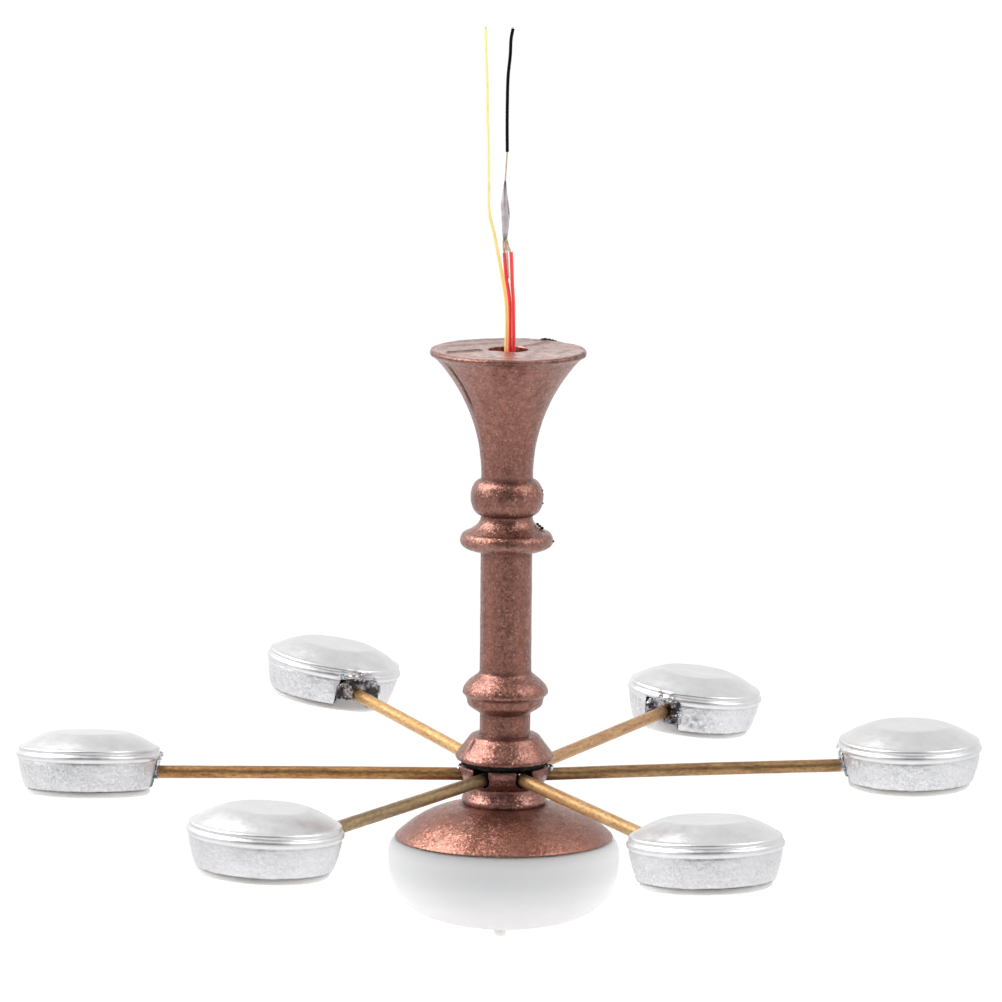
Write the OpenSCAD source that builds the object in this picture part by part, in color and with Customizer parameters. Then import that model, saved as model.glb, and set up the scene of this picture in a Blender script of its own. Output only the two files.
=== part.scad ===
// Miniature six-arm ceiling light for a 1:12 dolls' house, in millimetres.
// The origin is the centre of the column's flat top face, and +Z points up, to the ceiling.

/* [Column] */
// Radius of the flat face that meets the ceiling
canopy_r = 6.35; // [5.6:0.05:7.2]
// Height of the trumpet-shaped canopy
canopy_h = 10.3; // [9.5:0.1:10.5]
// Radius of the plain shaft
shaft_r = 2.1; // [1.9:0.05:2.3]
// Distance from the ceiling to the bottom of the skirt
column_h = 33.6; // [33:0.1:36]
// Radius of the bead under the canopy
bead_r = 2.95; // [2.6:0.05:3.3]
// Radius of the ogee collar under the bead
collar_r = 3.8; // [3.5:0.05:4.2]
// Radius of the lower collar
lower_collar_r = 3.5; // [3.3:0.05:3.9]
// Radius of the skirt over the hub
skirt_r = 4.05; // [3.85:0.05:4.5]
// Radius of the bore that the supply wires run in
bore_r = 1.3; // [1.2:0.05:1.4]
// Radius of the wire outlet in the top face
outlet_r = 1.62; // [1.45:0.01:1.75]

/* [Hub] */
// Radius of the castellated rim
hub_rim_r = 3.7; // [3.6:0.05:3.9]
// Radius of the ring at the foot of the hub
hub_ring_r = 3.5; // [3.3:0.05:3.7]
// Radius of the cavity that holds the ends of the arms
hub_cavity_r = 2.7; // [2.6:0.05:2.8]
// Half the width of the notch that an arm lies in
notch_r = 0.7; // [0.6:0.05:0.9]

/* [Cap and globe] */
// Radius of the domed cap
cap_r = 8.95; // [8.7:0.05:9.2]
// Rise of the dome above its lip
cap_rise = 2.9; // [2.7:0.05:3.1]
// Thickness of the cap
cap_wall = 0.6; // [0.5:0.05:0.7]
// Lean of the cap and the globe, front edge up, in degrees
cap_tilt = 2.5; // [0:0.5:3]
// Radius of the globe
globe_r = 9.45; // [9.2:0.05:9.8]
// Depth of the globe below its widest line
globe_depth = 5.9; // [5:0.1:6.5]
// Thickness of the globe's wall
globe_wall = 0.6; // [0.5:0.05:0.8]

/* [Arms] */
// Distance from the column's axis to the middle of a lamp head
arm_reach = 33.6; // [30:0.2:40]
// Outer radius of an arm tube
tube_r = 0.52; // [0.45:0.01:0.55]
// Inner radius of an arm tube
tube_bore_r = 0.33; // [0.3:0.01:0.35]

/* [Lamp heads] */
// Radius of the rounded rim
head_r = 5.95; // [5.8:0.05:6.3]
// Radius of the flat top
head_top_r = 3.25; // [2.8:0.05:3.6]
// Height of the flat top above the rim
head_top_h = 1.75; // [1.5:0.05:2]
// Depth of the side wall below the rim
head_wall_h = 2.8; // [2.7:0.05:3]
// Radius at the foot of the side wall
head_foot_r = 5.25; // [5.05:0.05:5.4]
// Radius of the diffuser puck
lens_r = 5; // [4.8:0.05:5]
// Height of the puck that shows below the wall
lens_drop = 0.55; // [0.4:0.05:0.8]

/* [Wires] */
// Diameter of an insulated wire
wire_d = 0.3; // [0.25:0.01:0.32]
// Diameter of a bare conductor
strand_d = 0.12; // [0.1:0.01:0.13]

/* [Hidden] */
$fn = 64;
eps = 0.01;

// The arms as assembled, counted anticlockwise from the right: how each sits, in degrees and mm
arm_turn = [4.3, 0.5, -2.6, -1.6, -2.4, -3.2];
arm_pitch = [1.3, 1.2, 3, -0.5, 0.1, -0.5];
arm_seat = [0.2, 0.4, 0.1, 0.1, 0, -0.1];
// How far out each head sits, how high over its arm, and how it leans and twists
head_shift = [-0.2, 0.3, 0, 0.5, 0, 0];
head_seat = [1.5, 0.8, 1.65, 1.5, 1.65, 1.65];
head_lean_out = [-0.5, 3.3, -3.4, -0.3, -4.2, -5.4];
head_lean_side = [1, -4.8, -8.5, -7.9, 0.5, 1];
head_twist = [0, -4, -3, 0, 0, 0];
arm_count = len(arm_turn);
ARMS = [1 : arm_count];

// Levels along the column, down from the ceiling
edge_h = 0.25;
bead_z = -12.05;
bead_half_h = 1.45;
cove_z = -13.6;
ovolo_z = -14.9;
cove_r = collar_r - 0.5;
collar_z = -15.65;
collar_foot_z = -16.45;
lower_collar_z = -26.5;
lower_step_z = -28.2;
lower_band_z = -29.15;
neck_z = -29.8;
skirt_z = 2 - column_h;
skirt_shoulder_w = 0.8;
skirt_shoulder_h = 0.2;
skirt_lip_h = 0.2;
neck_r = shaft_r - 0.03;
outlet_h = 2;

// Levels in the hub, up from the middle plane of the arms
hub_gap = 0.5;
rim_h = 0.8;
floor_h = -1;
ring_h = -2;
hub_foot_h = -2.5;
hub_waist_r = hub_ring_r - 0.5;
boss_foot_h = -3.8;
arm_z = -column_h - hub_gap - rim_h;
boss_r = 1.1;
lead_hole_r = 0.5;
neck_slab_r = 3.3;
junction_r = 0.8;
arm_root = 1.55;

// Levels in the cap and the globe, from the middle plane of the arms
cap_lip_h = -5.2;
cap_edge_h = 0.15;
globe_mid_h = -6.5;
globe_shape = 2.8;
globe_neck_r = 7.9;
globe_neck_h = 0.45;
globe_shelf_r = 8.7;
nib_r = 0.55;
nib_h = 1.4;
nib_shift = -0.25;
board_r = 5.2;
board_h = 0.6;

// Lamp head, from the plane of its rim
shoulder_r = head_r - 0.35;
shoulder_h = 0.6;
flank_bulge = 0.1;
head_cavity_r = 4.6;
head_cavity_h = 0.6;
head_notch_w = 3.3;
head_notch_top = -0.2;
lens_boss_h = 0.4;
lens_edge = 0.2;
joint_r = 1.65;
joint_outer = 5.75;
joint_inner = 4.65;
joint_foot = 0.7;
head_board_r = 3.8;
head_board_h = 0.5;
tube_stop = 3.9;
lead_r = 0.08;
lead_gap = 0.15;
lead_stop = 3;

// Routes of the supply wires, from their cut ends down to the junction in the hub
yellow_route = [
    [-2.02, -0.7, 25.7], [-1.97, -0.7, 23.6], [-1.87, -0.7, 21.1], [-1.82, -0.7, 18.7],
    [-1.72, -0.7, 16.2], [-1.68, -0.7, 13], [-1.66, -0.7, 11.3], [-1.52, -0.7, 10.5],
    [-1.3, -0.7, 9.7], [-1.12, -0.7, 8.9], [-0.97, -0.75, 8.1], [-0.8, -0.8, 7.3],
    [-0.62, -0.85, 6.4], [-0.46, -0.9, 5.6], [-0.33, -0.9, 4.8], [-0.22, -0.9, 4],
    [-0.14, -0.9, 2.4], [-0.16, -0.9, 0.3], [-0.16, -0.9, -2], [-0.3, -0.6, -12],
    [-0.3, -0.4, -22], [-0.3, -0.3, -31], [-0.25, -0.2, -34.3]
];
red_a_route = [
    [-0.39, -0.5, 7.8], [-0.32, -0.5, 7], [-0.27, -0.5, 6.4], [-0.2, -0.48, 5.7],
    [-0.04, -0.46, 4.8], [0.06, -0.45, 3.9], [0.1, -0.45, 2.5], [0.12, -0.45, 0.3],
    [0.1, -0.4, -2], [-0.2, 0.1, -12], [-0.1, 0.2, -22], [0, 0.25, -31], [0, 0.3, -34.3]
];
red_b_route = [
    [0.15, -0.6, 7.9], [0.2, -0.6, 7.1], [0.24, -0.6, 6.2], [0.28, -0.6, 5.2],
    [0.35, -0.6, 4.2], [0.4, -0.6, 2.5], [0.43, -0.6, 0.5], [0.42, -0.6, -2],
    [0.3, -0.5, -12], [0.3, -0.4, -22], [0.3, -0.3, -31], [0.3, -0.15, -34.3]
];
black_route = [
    [0.15, -0.6, 25.7], [0.02, -0.6, 25], [-0.05, -0.6, 23.6], [-0.2, -0.6, 22],
    [-0.25, -0.6, 19.5], [-0.25, -0.6, 17.9], [-0.22, -0.6, 15.9]
];
core_route = [[-0.22, -0.6, 15.9], [-0.28, -0.6, 14.8], [-0.36, -0.6, 13.6]];
strand_a_route = [[-0.44, -0.58, 9], [-0.46, -0.54, 8.4], [-0.39, -0.5, 7.8]];
strand_b_route = [[-0.26, -0.6, 9], [-0.08, -0.6, 8.4], [0.15, -0.6, 7.9]];
// Outline of the soldered splice, as radius and height
splice_outline = [
    [0, 8.9], [0.16, 8.9], [0.22, 9.2], [0.26, 9.6], [0.33, 10.6],
    [0.34, 11], [0.31, 11.9], [0.2, 12.6], [0.1, 13.2], [0.08, 13.8], [0, 13.8]
];
splice_at = [-0.36, -0.6];

COPPER = "#8a5a4a";
BRASS = "#b8915a";
SILVER = "#c9c9cb";
FROSTED = "#ececec";
SOLDER = "#8f9194";
EPOXY = "#241a1a";
BOARD = "#e6e4dc";
CHIP = "#f2df7a";
ENAMEL = "#a8542a";

// Part of a curve from one radius and height to another, as a list of [r, z] points.
// shape 1 is straight, under 1 bulges out at the start, over 1 hollows it.
function eased(r0, z0, r1, z1, shape, steps = 8) =
    [for (i = [0 : steps]) [r0 + (r1 - r0) * pow(i / steps, shape), z0 + (z1 - z0) * i / steps]];

// Quarter of an ellipse about [r, z], from one angle to another
function elliptic(r, z, a, b, from, to, steps = 10) =
    [for (i = [0 : steps])
        let (t = from + (to - from) * i / steps) [r + a * cos(t), z + b * sin(t)]];

// Line between two points that swells upwards by bulge in its middle
function domed(r0, z0, r1, z1, bulge, steps = 5) =
    [for (i = [0 : steps])
        let (t = i / steps)
            [r0 + (r1 - r0) * t, z0 + (z1 - z0) * t + bulge * sin(180 * t)]];

// Lower quarter of a squat rounded outline about [0, z], from its widest point to its pole
function squat(a, b, z, shape, steps = 24) =
    [for (i = [0 : steps])
        let (t = 90 * i / steps)
            [a * pow(max(cos(t), 0), 2 / shape), z - b * pow(sin(t), 2 / shape)]];

function unit(v) = v / norm(v);

// The trumpet's side is one arc that leaves the shaft upright
function trumpet(steps = 22) =
    let (flare = canopy_r - shaft_r, h = canopy_h - edge_h,
         radius = (h * h + flare * flare) / (2 * flare))
    [for (i = [0 : steps])
        let (up = h * (1 - i / steps))
            [shaft_r + radius - sqrt(radius * radius - up * up), up - canopy_h]];

function column_outline() = concat(
    [[0, 0], [canopy_r - 0.1, 0], [canopy_r, -0.08]],
    trumpet(),
    elliptic(shaft_r, bead_z, bead_r - shaft_r, bead_half_h, 90, -90, 16),
    eased(shaft_r, cove_z, cove_r, ovolo_z, 2.2, 9),
    elliptic(cove_r, collar_z, collar_r - cove_r, ovolo_z - collar_z, 86, 0, 8),
    elliptic(shaft_r, collar_z, collar_r - shaft_r, collar_z - collar_foot_z, -10, -90, 9),
    [for (i = [0 : 8]) [shaft_r + (lower_collar_r - shaft_r) * sin(90 * i / 8),
                        lower_collar_z - 1.6 * i / 8]],
    [[lower_collar_r, lower_step_z], [lower_collar_r - 0.3, lower_step_z - 0.2]],
    eased(lower_collar_r - 0.45, lower_band_z, neck_r, neck_z, 1.1, 5),
    elliptic(neck_r, skirt_z - skirt_shoulder_h, skirt_shoulder_w, skirt_shoulder_h, 90, 20, 5),
    [[skirt_r, skirt_lip_h - column_h], [skirt_r - 0.1, -column_h], [0, -column_h]]
);

module canopy_column() {
    color(COPPER) difference() {
        rotate_extrude() polygon(column_outline());
        translate([0, 0, -column_h - 1]) cylinder(h = column_h + 2, r = bore_r);
        translate([0, 0, -outlet_h]) cylinder(h = outlet_h + 1, r = outlet_r);
    }
}

// Places a shape in the frame of one arm: origin on the axis, +X out along the arm
module along_arm(i) {
    translate([0, 0, arm_z - arm_seat[i - 1]])
        rotate([0, -arm_pitch[i - 1], bearing(i)]) children();
}

function bearing(i) = 360 / arm_count * (i - 1) + arm_turn[i - 1];

// Distance along the arm's axis to the middle of its lamp head
function reach(i) = arm_reach + head_shift[i - 1];

// The point on the arm's axis at the middle of the lamp head
function arm_end(i) =
    let (flat = reach(i) * cos(arm_pitch[i - 1]))
    [flat * cos(bearing(i)), flat * sin(bearing(i)),
     arm_z - arm_seat[i - 1] + reach(i) * sin(arm_pitch[i - 1])];

// Places a shape in the frame of one lamp head: origin in the plane of the rim, -X to the hub
module at_head(i) {
    translate(arm_end(i)) rotate([0, 0, bearing(i)])
        rotate([-head_lean_side[i - 1], head_lean_out[i - 1], 0])
            translate([0, 0, head_seat[i - 1]]) rotate([0, 0, head_twist[i - 1]]) children();
}

// Places a shape with the lean of the cap, measured from the middle plane of the arms
module under_hub() {
    translate([0, 0, arm_z + hub_foot_h]) rotate([-cap_tilt, 0, 0])
        translate([0, 0, -hub_foot_h]) children();
}

module hub() {
    wall = [
        [0, rim_h], [hub_rim_r - 0.1, rim_h], [hub_rim_r, rim_h - 0.1],
        [hub_rim_r, 0.2], [hub_rim_r - 0.25, -0.4], [hub_waist_r + 0.05, floor_h + 0.1],
        [hub_waist_r, floor_h], [hub_waist_r + 0.1, -1.2], [hub_ring_r - 0.1, -1.75],
        [hub_ring_r, ring_h],
        [hub_ring_r - 0.05, -2.3], [hub_ring_r - 0.2, hub_foot_h], [0, hub_foot_h]
    ];
    color(COPPER) difference() {
        union() {
            translate([0, 0, arm_z]) rotate_extrude() polygon(wall);
            translate([0, 0, arm_z + boss_foot_h])
                cylinder(h = hub_foot_h - boss_foot_h + 0.5, r = boss_r);
        }
        translate([0, 0, arm_z + floor_h]) cylinder(h = 5, r = hub_cavity_r);
        translate([0, 0, arm_z - 5]) cylinder(h = 10, r = lead_hole_r);
        for (i = ARMS) along_arm(i) {
            translate([1, 0, 0]) rotate([0, 90, 0]) cylinder(h = 5, r = notch_r);
            translate([1, -notch_r, 0]) cube([5, 2 * notch_r, 3]);
        }
    }
}

// Dark filling that fixes the arms in the hub and the hub to the column
module hub_potting() {
    color(EPOXY) difference() {
        union() {
            translate([0, 0, arm_z + floor_h])
                cylinder(h = rim_h - floor_h + 0.1, r = hub_cavity_r);
            translate([0, 0, arm_z + rim_h]) cylinder(h = hub_gap, r = neck_slab_r);
        }
        translate([0, 0, arm_z - 5]) cylinder(h = 10, r = bore_r);
        for (i = ARMS) along_arm(i)
            translate([arm_root, 0, 0]) rotate([0, 90, 0]) cylinder(h = 5, r = tube_r);
    }
}

module wire_junction() {
    color(SOLDER) translate([0, 0, arm_z]) sphere(r = junction_r);
}

module arm_tube(i) {
    length = reach(i) - tube_stop - arm_root;
    color(BRASS) along_arm(i) translate([arm_root, 0, 0]) rotate([0, 90, 0]) difference() {
        cylinder(h = length, r = tube_r);
        translate([0, 0, -1]) cylinder(h = length + 2, r = tube_bore_r);
    }
}

// Two enamelled leads that run through the tube and turn up to the lamp head's board
module arm_leads(i) {
    start = junction_r - 0.25;
    turn_down = 0.3;
    color(ENAMEL) for (side = [-1, 1]) {
        along_arm(i) translate([start, side * lead_gap, 0]) rotate([0, 90, 0])
            cylinder(h = reach(i) - lead_stop - start, r = lead_r);
        at_head(i) rotate([0, 0, -head_twist[i - 1]])
            translate([-lead_stop, side * lead_gap, -head_seat[i - 1] - turn_down])
                cylinder(h = head_seat[i - 1] + turn_down + head_cavity_h - head_board_h,
                         r = lead_r + 0.02);
    }
}

module head_notch() {
    translate([-head_r - 1, -head_notch_w / 2, -head_wall_h - 1])
        cube([head_r + 1 - 4.2, head_notch_w, head_wall_h + 1 + head_notch_top]);
}

module head_shell(i) {
    outline = concat(
        [[0, head_top_h], [head_top_r - 0.1, head_top_h]],
        domed(head_top_r + 0.1, head_top_h - 0.05, shoulder_r, shoulder_h, flank_bulge),
        elliptic(shoulder_r, 0.42, 0.14, 0.17, 60, -60, 4),
        [[shoulder_r + 0.04, 0.25]],
        elliptic(head_r - 0.26, 0, 0.26, 0.24, 70, -60, 8),
        eased(head_r - 0.16, -0.3, head_foot_r, 0.08 - head_wall_h, 1.4, 5),
        [[head_foot_r - 0.06, -head_wall_h], [0, -head_wall_h]]
    );
    color(SILVER) at_head(i) difference() {
        rotate_extrude() polygon(outline);
        translate([0, 0, -head_wall_h - 1])
            cylinder(h = head_wall_h + 1 + head_cavity_h, r = head_cavity_r);
        head_notch();
    }
}

// Frosted puck pressed into the open foot of the shell
module lens(i) {
    foot = -head_wall_h - lens_drop;
    outline = concat(
        [[0, lens_boss_h - head_wall_h], [head_cavity_r - 0.03, lens_boss_h - head_wall_h],
         [head_cavity_r - 0.03, -head_wall_h], [lens_r, -head_wall_h]],
        elliptic(lens_r - lens_edge, foot + lens_edge, lens_edge, lens_edge, 0, -90, 5),
        [[0, foot]]
    );
    color(FROSTED) at_head(i) rotate_extrude() polygon(outline);
}

// Solder that fills the notch around the end of the tube
module arm_joint(i) {
    color(SOLDER) difference() {
        intersection() {
            along_arm(i) translate([reach(i) - joint_outer, 0, 0]) sphere(r = joint_r);
            at_head(i) translate([-joint_outer, -head_notch_w / 2, joint_foot - head_wall_h])
                cube([joint_outer - joint_inner, head_notch_w,
                      head_wall_h - joint_foot + head_notch_top]);
        }
        along_arm(i) translate([reach(i) - 9, 0, 0]) rotate([0, 90, 0])
            cylinder(h = 9, r = tube_r);
    }
}

module led_board(i) {
    color(BOARD) at_head(i) translate([0, 0, head_cavity_h - head_board_h])
        cylinder(h = head_board_h, r = head_board_r);
}

// A square-cut package with its round light-emitting window
module led_package(w, d, h) {
    difference() {
        translate([-w / 2, -d / 2, -h]) cube([w, d, h]);
        translate([0, 0, -h - eps]) cylinder(h = 0.15, r = d * 0.38);
    }
}

module led_chip(i) {
    color(CHIP) at_head(i) translate([0, 0, head_cavity_h - head_board_h])
        led_package(3.5, 2.8, 0.8);
}

module dome_cap() {
    flat_r = hub_ring_r - 0.2;
    start = acos(flat_r / cap_r);
    inner_r = cap_r - cap_wall;
    inner_rise = cap_rise - cap_wall + 0.1;
    lip = cap_lip_h - cap_edge_h;
    outline = concat(
        [[0, cap_lip_h + cap_rise * sin(start)]],
        elliptic(0, cap_lip_h, cap_r, cap_rise, start, 0, 24),
        [[cap_r, lip], [inner_r, lip]],
        elliptic(0, lip, inner_r, inner_rise, 0, 70, 20),
        [[0, lip + inner_rise * sin(70)]]
    );
    color(COPPER) under_hub() difference() {
        rotate_extrude() polygon(outline);
        translate([0, 0, boss_foot_h - 1]) cylinder(h = 3, r = boss_r + 0.15);
    }
}

module globe_diffuser() {
    shelf = cap_lip_h - cap_edge_h;
    neck_top = shelf + globe_neck_h;
    neck_inner_r = globe_neck_r - globe_wall;
    shoulder = globe_r - globe_shelf_r;
    outer = squat(globe_r, globe_depth, globe_mid_h, globe_shape);
    inner = squat(globe_r - globe_wall, globe_depth - globe_wall, globe_mid_h, globe_shape);
    outline = concat(
        [[neck_inner_r, neck_top], [globe_neck_r, neck_top], [globe_neck_r, shelf]],
        elliptic(globe_shelf_r, globe_mid_h, shoulder, shelf - globe_mid_h, 90, 15, 6),
        outer,
        [for (i = [len(inner) - 1 : -1 : 0]) inner[i]],
        [[neck_inner_r, shelf - globe_wall]]
    );
    pole = globe_mid_h - globe_depth;
    color(FROSTED) under_hub() {
        rotate_extrude() polygon(outline);
        translate([nib_shift, 0, pole - nib_h + nib_r]) {
            cylinder(h = nib_h - nib_r + globe_wall / 2, r = nib_r);
            sphere(r = nib_r);
        }
    }
}

module centre_led_board() {
    color(BOARD) translate([0, 0, arm_z + boss_foot_h - board_h])
        cylinder(h = board_h, r = board_r);
}

module centre_led_chip() {
    color(CHIP) translate([0, 0, arm_z + boss_foot_h - board_h]) led_package(3.5, 2.8, 1);
}

module centre_leads() {
    drop = -boss_foot_h - junction_r + 0.2;
    color(ENAMEL) for (side = [-1, 1])
        translate([0, side * lead_gap, arm_z + boss_foot_h]) cylinder(h = drop, r = lead_r);
}

// Closed tube of eight sides with one ring at each point of a route
module swept(route, r, sides = 8) {
    last = len(route) - 1;
    rings = [for (i = [0 : last])
        let (ahead = unit(route[min(i + 1, last)] - route[max(i - 1, 0)]),
             across = unit(cross(ahead, [0, 1, 0])),
             over = cross(across, ahead))
        for (k = [0 : sides - 1])
            route[i] + r * (cos(360 * k / sides) * across + sin(360 * k / sides) * over)];
    walls = [for (i = [0 : last - 1], k = [0 : sides - 1])
        let (a = i * sides + k, b = i * sides + (k + 1) % sides)
        for (f = [[a, a + sides, b], [b, a + sides, b + sides]]) f];
    ends = [[for (k = [0 : sides - 1]) k],
            [for (k = [sides - 1 : -1 : 0]) last * sides + k]];
    polyhedron(points = rings, faces = concat(walls, ends), convexity = 4);
}

module yellow_wire() {
    color("#ecd98a") swept(yellow_route, wire_d / 2);
}

module red_wire_a() {
    color("#d9383f") swept(red_a_route, wire_d / 2);
}

module red_wire_b() {
    color("#d9383f") swept(red_b_route, wire_d / 2);
}

module black_wire() {
    color("#151111") swept(black_route, wire_d / 2);
}

module black_wire_core() {
    color(BRASS) swept(core_route, strand_d / 2);
}

module red_wire_strands() {
    color(BRASS) {
        swept(strand_a_route, strand_d / 2);
        swept(strand_b_route, strand_d / 2);
    }
}

module splice_solder() {
    color(SOLDER) translate(splice_at) rotate_extrude() polygon(splice_outline);
}

canopy_column();
hub();
hub_potting();
wire_junction();
dome_cap();
globe_diffuser();
centre_led_board();
centre_led_chip();
centre_leads();
yellow_wire();
red_wire_a();
red_wire_b();
black_wire();
black_wire_core();
red_wire_strands();
splice_solder();
for (i = ARMS) {
    arm_tube(i);
    arm_leads(i);
    arm_joint(i);
    head_shell(i);
    lens(i);
    led_board(i);
    led_chip(i);
}
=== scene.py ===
"""Looks of a miniature six-arm ceiling light for a dolls' house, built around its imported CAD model.

Outlines, routes and sizes are in millimetres, as in the CAD source, and become metres in new meshes.
"""

import math

import bmesh
import bpy
import numpy as np
from mathutils import Matrix, Vector, noise


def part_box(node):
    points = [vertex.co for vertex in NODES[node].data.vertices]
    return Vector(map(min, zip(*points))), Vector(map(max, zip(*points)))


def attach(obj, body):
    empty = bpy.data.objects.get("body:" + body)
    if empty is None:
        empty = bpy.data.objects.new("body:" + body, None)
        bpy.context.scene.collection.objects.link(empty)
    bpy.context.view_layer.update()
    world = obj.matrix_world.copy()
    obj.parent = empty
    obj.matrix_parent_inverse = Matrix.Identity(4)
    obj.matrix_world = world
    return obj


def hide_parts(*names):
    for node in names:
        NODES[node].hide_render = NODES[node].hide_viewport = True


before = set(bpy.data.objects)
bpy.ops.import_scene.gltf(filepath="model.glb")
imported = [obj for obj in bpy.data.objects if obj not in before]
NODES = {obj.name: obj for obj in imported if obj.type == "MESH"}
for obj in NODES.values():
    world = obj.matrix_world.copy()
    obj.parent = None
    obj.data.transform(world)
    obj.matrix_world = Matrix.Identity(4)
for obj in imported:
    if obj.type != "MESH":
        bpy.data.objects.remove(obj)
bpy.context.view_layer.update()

MM = 0.001
ARMS = range(1, 7)
SEGMENTS = 256  # round each lathe-turned piece


def low(node):
    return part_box(node)[0] / MM


def high(node):
    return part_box(node)[1] / MM


# ---------------------------------------------------------------- places read from the frame

ARM_Z = (low("wire_junction").z + high("wire_junction").z) / 2
COLUMN_Z = low("canopy_column").z
CANOPY_R = high("canopy_column").x
GLOBE_FOOT = low("globe_diffuser").z


# ---------------------------------------------------------------- camera

CAMERA_DISTANCE = 0.3515  # metres from the middle of the arms
CAMERA_RISE = math.radians(12.47)
CAMERA_PITCH = math.radians(-8.843)
CAMERA_YAW = math.radians(0.08)
CAMERA_ROLL = math.radians(0.5)
CAMERA_LENS = 154.1


def add_camera():
    """Looks from the front, a little above the arms, with the light hanging slightly out of plumb."""
    data = bpy.data.cameras.new("camera")
    data.lens = CAMERA_LENS
    data.sensor_width = 36
    data.clip_start, data.clip_end = 0.01, 100
    camera = bpy.data.objects.new("camera", data)
    bpy.context.scene.collection.objects.link(camera)
    camera.location = (
        0,
        -CAMERA_DISTANCE * math.cos(CAMERA_RISE),
        ARM_Z * MM + CAMERA_DISTANCE * math.sin(CAMERA_RISE),
    )
    aim = (
        Matrix.Rotation(CAMERA_YAW, 3, "Z")
        @ Matrix.Rotation(math.pi / 2 + CAMERA_PITCH, 3, "X")
        @ Matrix.Rotation(CAMERA_ROLL, 3, "Z")
    )
    camera.rotation_mode = "QUATERNION"
    camera.rotation_quaternion = aim.to_quaternion()
    bpy.context.scene.camera = camera


add_camera()


# ---------------------------------------------------------------- node materials

class Nodes:
    """The nodes of a material or a world."""

    def __init__(self, owner):
        owner.use_nodes = True
        self.tree = owner.node_tree

    def add(self, kind, inputs=(), **settings):
        made = self.tree.nodes.new(kind)
        for setting, value in settings.items():
            setattr(made, setting, value)
        for key, value in dict(inputs).items():
            self.feed(made.inputs[key], value)
        return made

    def feed(self, socket, value):
        if isinstance(value, bpy.types.NodeSocket):
            self.tree.links.new(value, socket)
        elif hasattr(value, "__len__") and len(value) == 3 and socket.type == "RGBA":
            socket.default_value = (*value, 1)
        else:
            socket.default_value = value

    def levels(self, value, start, end, to_min=0.0, to_max=1.0, **settings):
        """Value mapped from start..end to to_min..to_max and clamped."""
        made = self.add(
            "ShaderNodeMapRange",
            {"Value": value, "From Min": start, "From Max": end, "To Min": to_min, "To Max": to_max},
            **settings,
        )
        return made.outputs[0]

    def plus(self, a, b):
        return self.add("ShaderNodeMath", {0: a, 1: b}, operation="ADD").outputs[0]

    def times(self, a, b):
        return self.add("ShaderNodeMath", {0: a, 1: b}, operation="MULTIPLY").outputs[0]

    def mix(self, factor, a, b):
        made = self.add("ShaderNodeMix", {0: factor, 6: a, 7: b}, data_type="RGBA")
        return made.outputs[2]


class Paint(Nodes):
    """A Principled material whose textures are laid in the piece's own coordinates, in features per mm."""

    def __init__(self, name, **sockets):
        self.material = bpy.data.materials.new(name)
        super().__init__(self.material)
        for socket, value in sockets.items():
            self.set(socket.replace("_", " "), value)
        self.place = self.add("ShaderNodeTexCoord").outputs["Object"]

    def set(self, socket, value):
        self.feed(self.tree.nodes["Principled BSDF"].inputs[socket], value)

    def finished(self, colour, roughness, normal):
        """The material, once it is known what drives its colour, its gloss and its bumps."""
        self.set("Base Color", colour)
        self.set("Roughness", roughness)
        self.set("Normal", normal)
        return self.material

    def stretched(self, scale):
        """The piece's coordinates, scaled along each axis."""
        return self.add(
            "ShaderNodeMapping", {"Vector": self.place, "Scale": scale}
        ).outputs[0]

    def noise(self, per_mm, detail=3, roughness=0.55, stretch=None, distortion=0):
        place = self.stretched(stretch) if stretch else self.place
        made = self.add(
            "ShaderNodeTexNoise",
            {"Vector": place, "Scale": per_mm / MM, "Detail": detail, "Roughness": roughness,
             "Distortion": distortion},
        )
        return made.outputs[0]

    def cells(self, per_mm):
        made = self.add("ShaderNodeTexVoronoi", {"Vector": self.place, "Scale": per_mm / MM})
        return made.outputs["Color"]

    def attribute(self, name):
        return self.add("ShaderNodeAttribute", attribute_name=name).outputs["Fac"]

    def bump(self, height, depth_mm, strength, normal=None):
        inputs = {"Height": height, "Distance": depth_mm * MM, "Strength": strength}
        if normal is not None:
            inputs["Normal"] = normal
        return self.add("ShaderNodeBump", inputs).outputs[0]

    def tilted(self, random, amount):
        """The surface normal leant by a random colour, as a metal flake lies askew in paint."""
        centred = self.add(
            "ShaderNodeVectorMath", {0: random, 1: (0.5, 0.5, 0.5)}, operation="SUBTRACT"
        )
        lean = self.add(
            "ShaderNodeVectorMath", {0: centred.outputs[0], "Scale": amount}, operation="SCALE"
        )
        facing = self.add("ShaderNodeNewGeometry").outputs["Normal"]
        total = self.add(
            "ShaderNodeVectorMath", {0: facing, 1: lean.outputs[0]}, operation="ADD"
        )
        made = self.add("ShaderNodeVectorMath", {0: total.outputs[0]}, operation="NORMALIZE")
        return made.outputs[0]

    def height(self):
        """Height in the piece's own frame, in metres."""
        return self.add("ShaderNodeSeparateXYZ", {0: self.place}).outputs["Z"]


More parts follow.
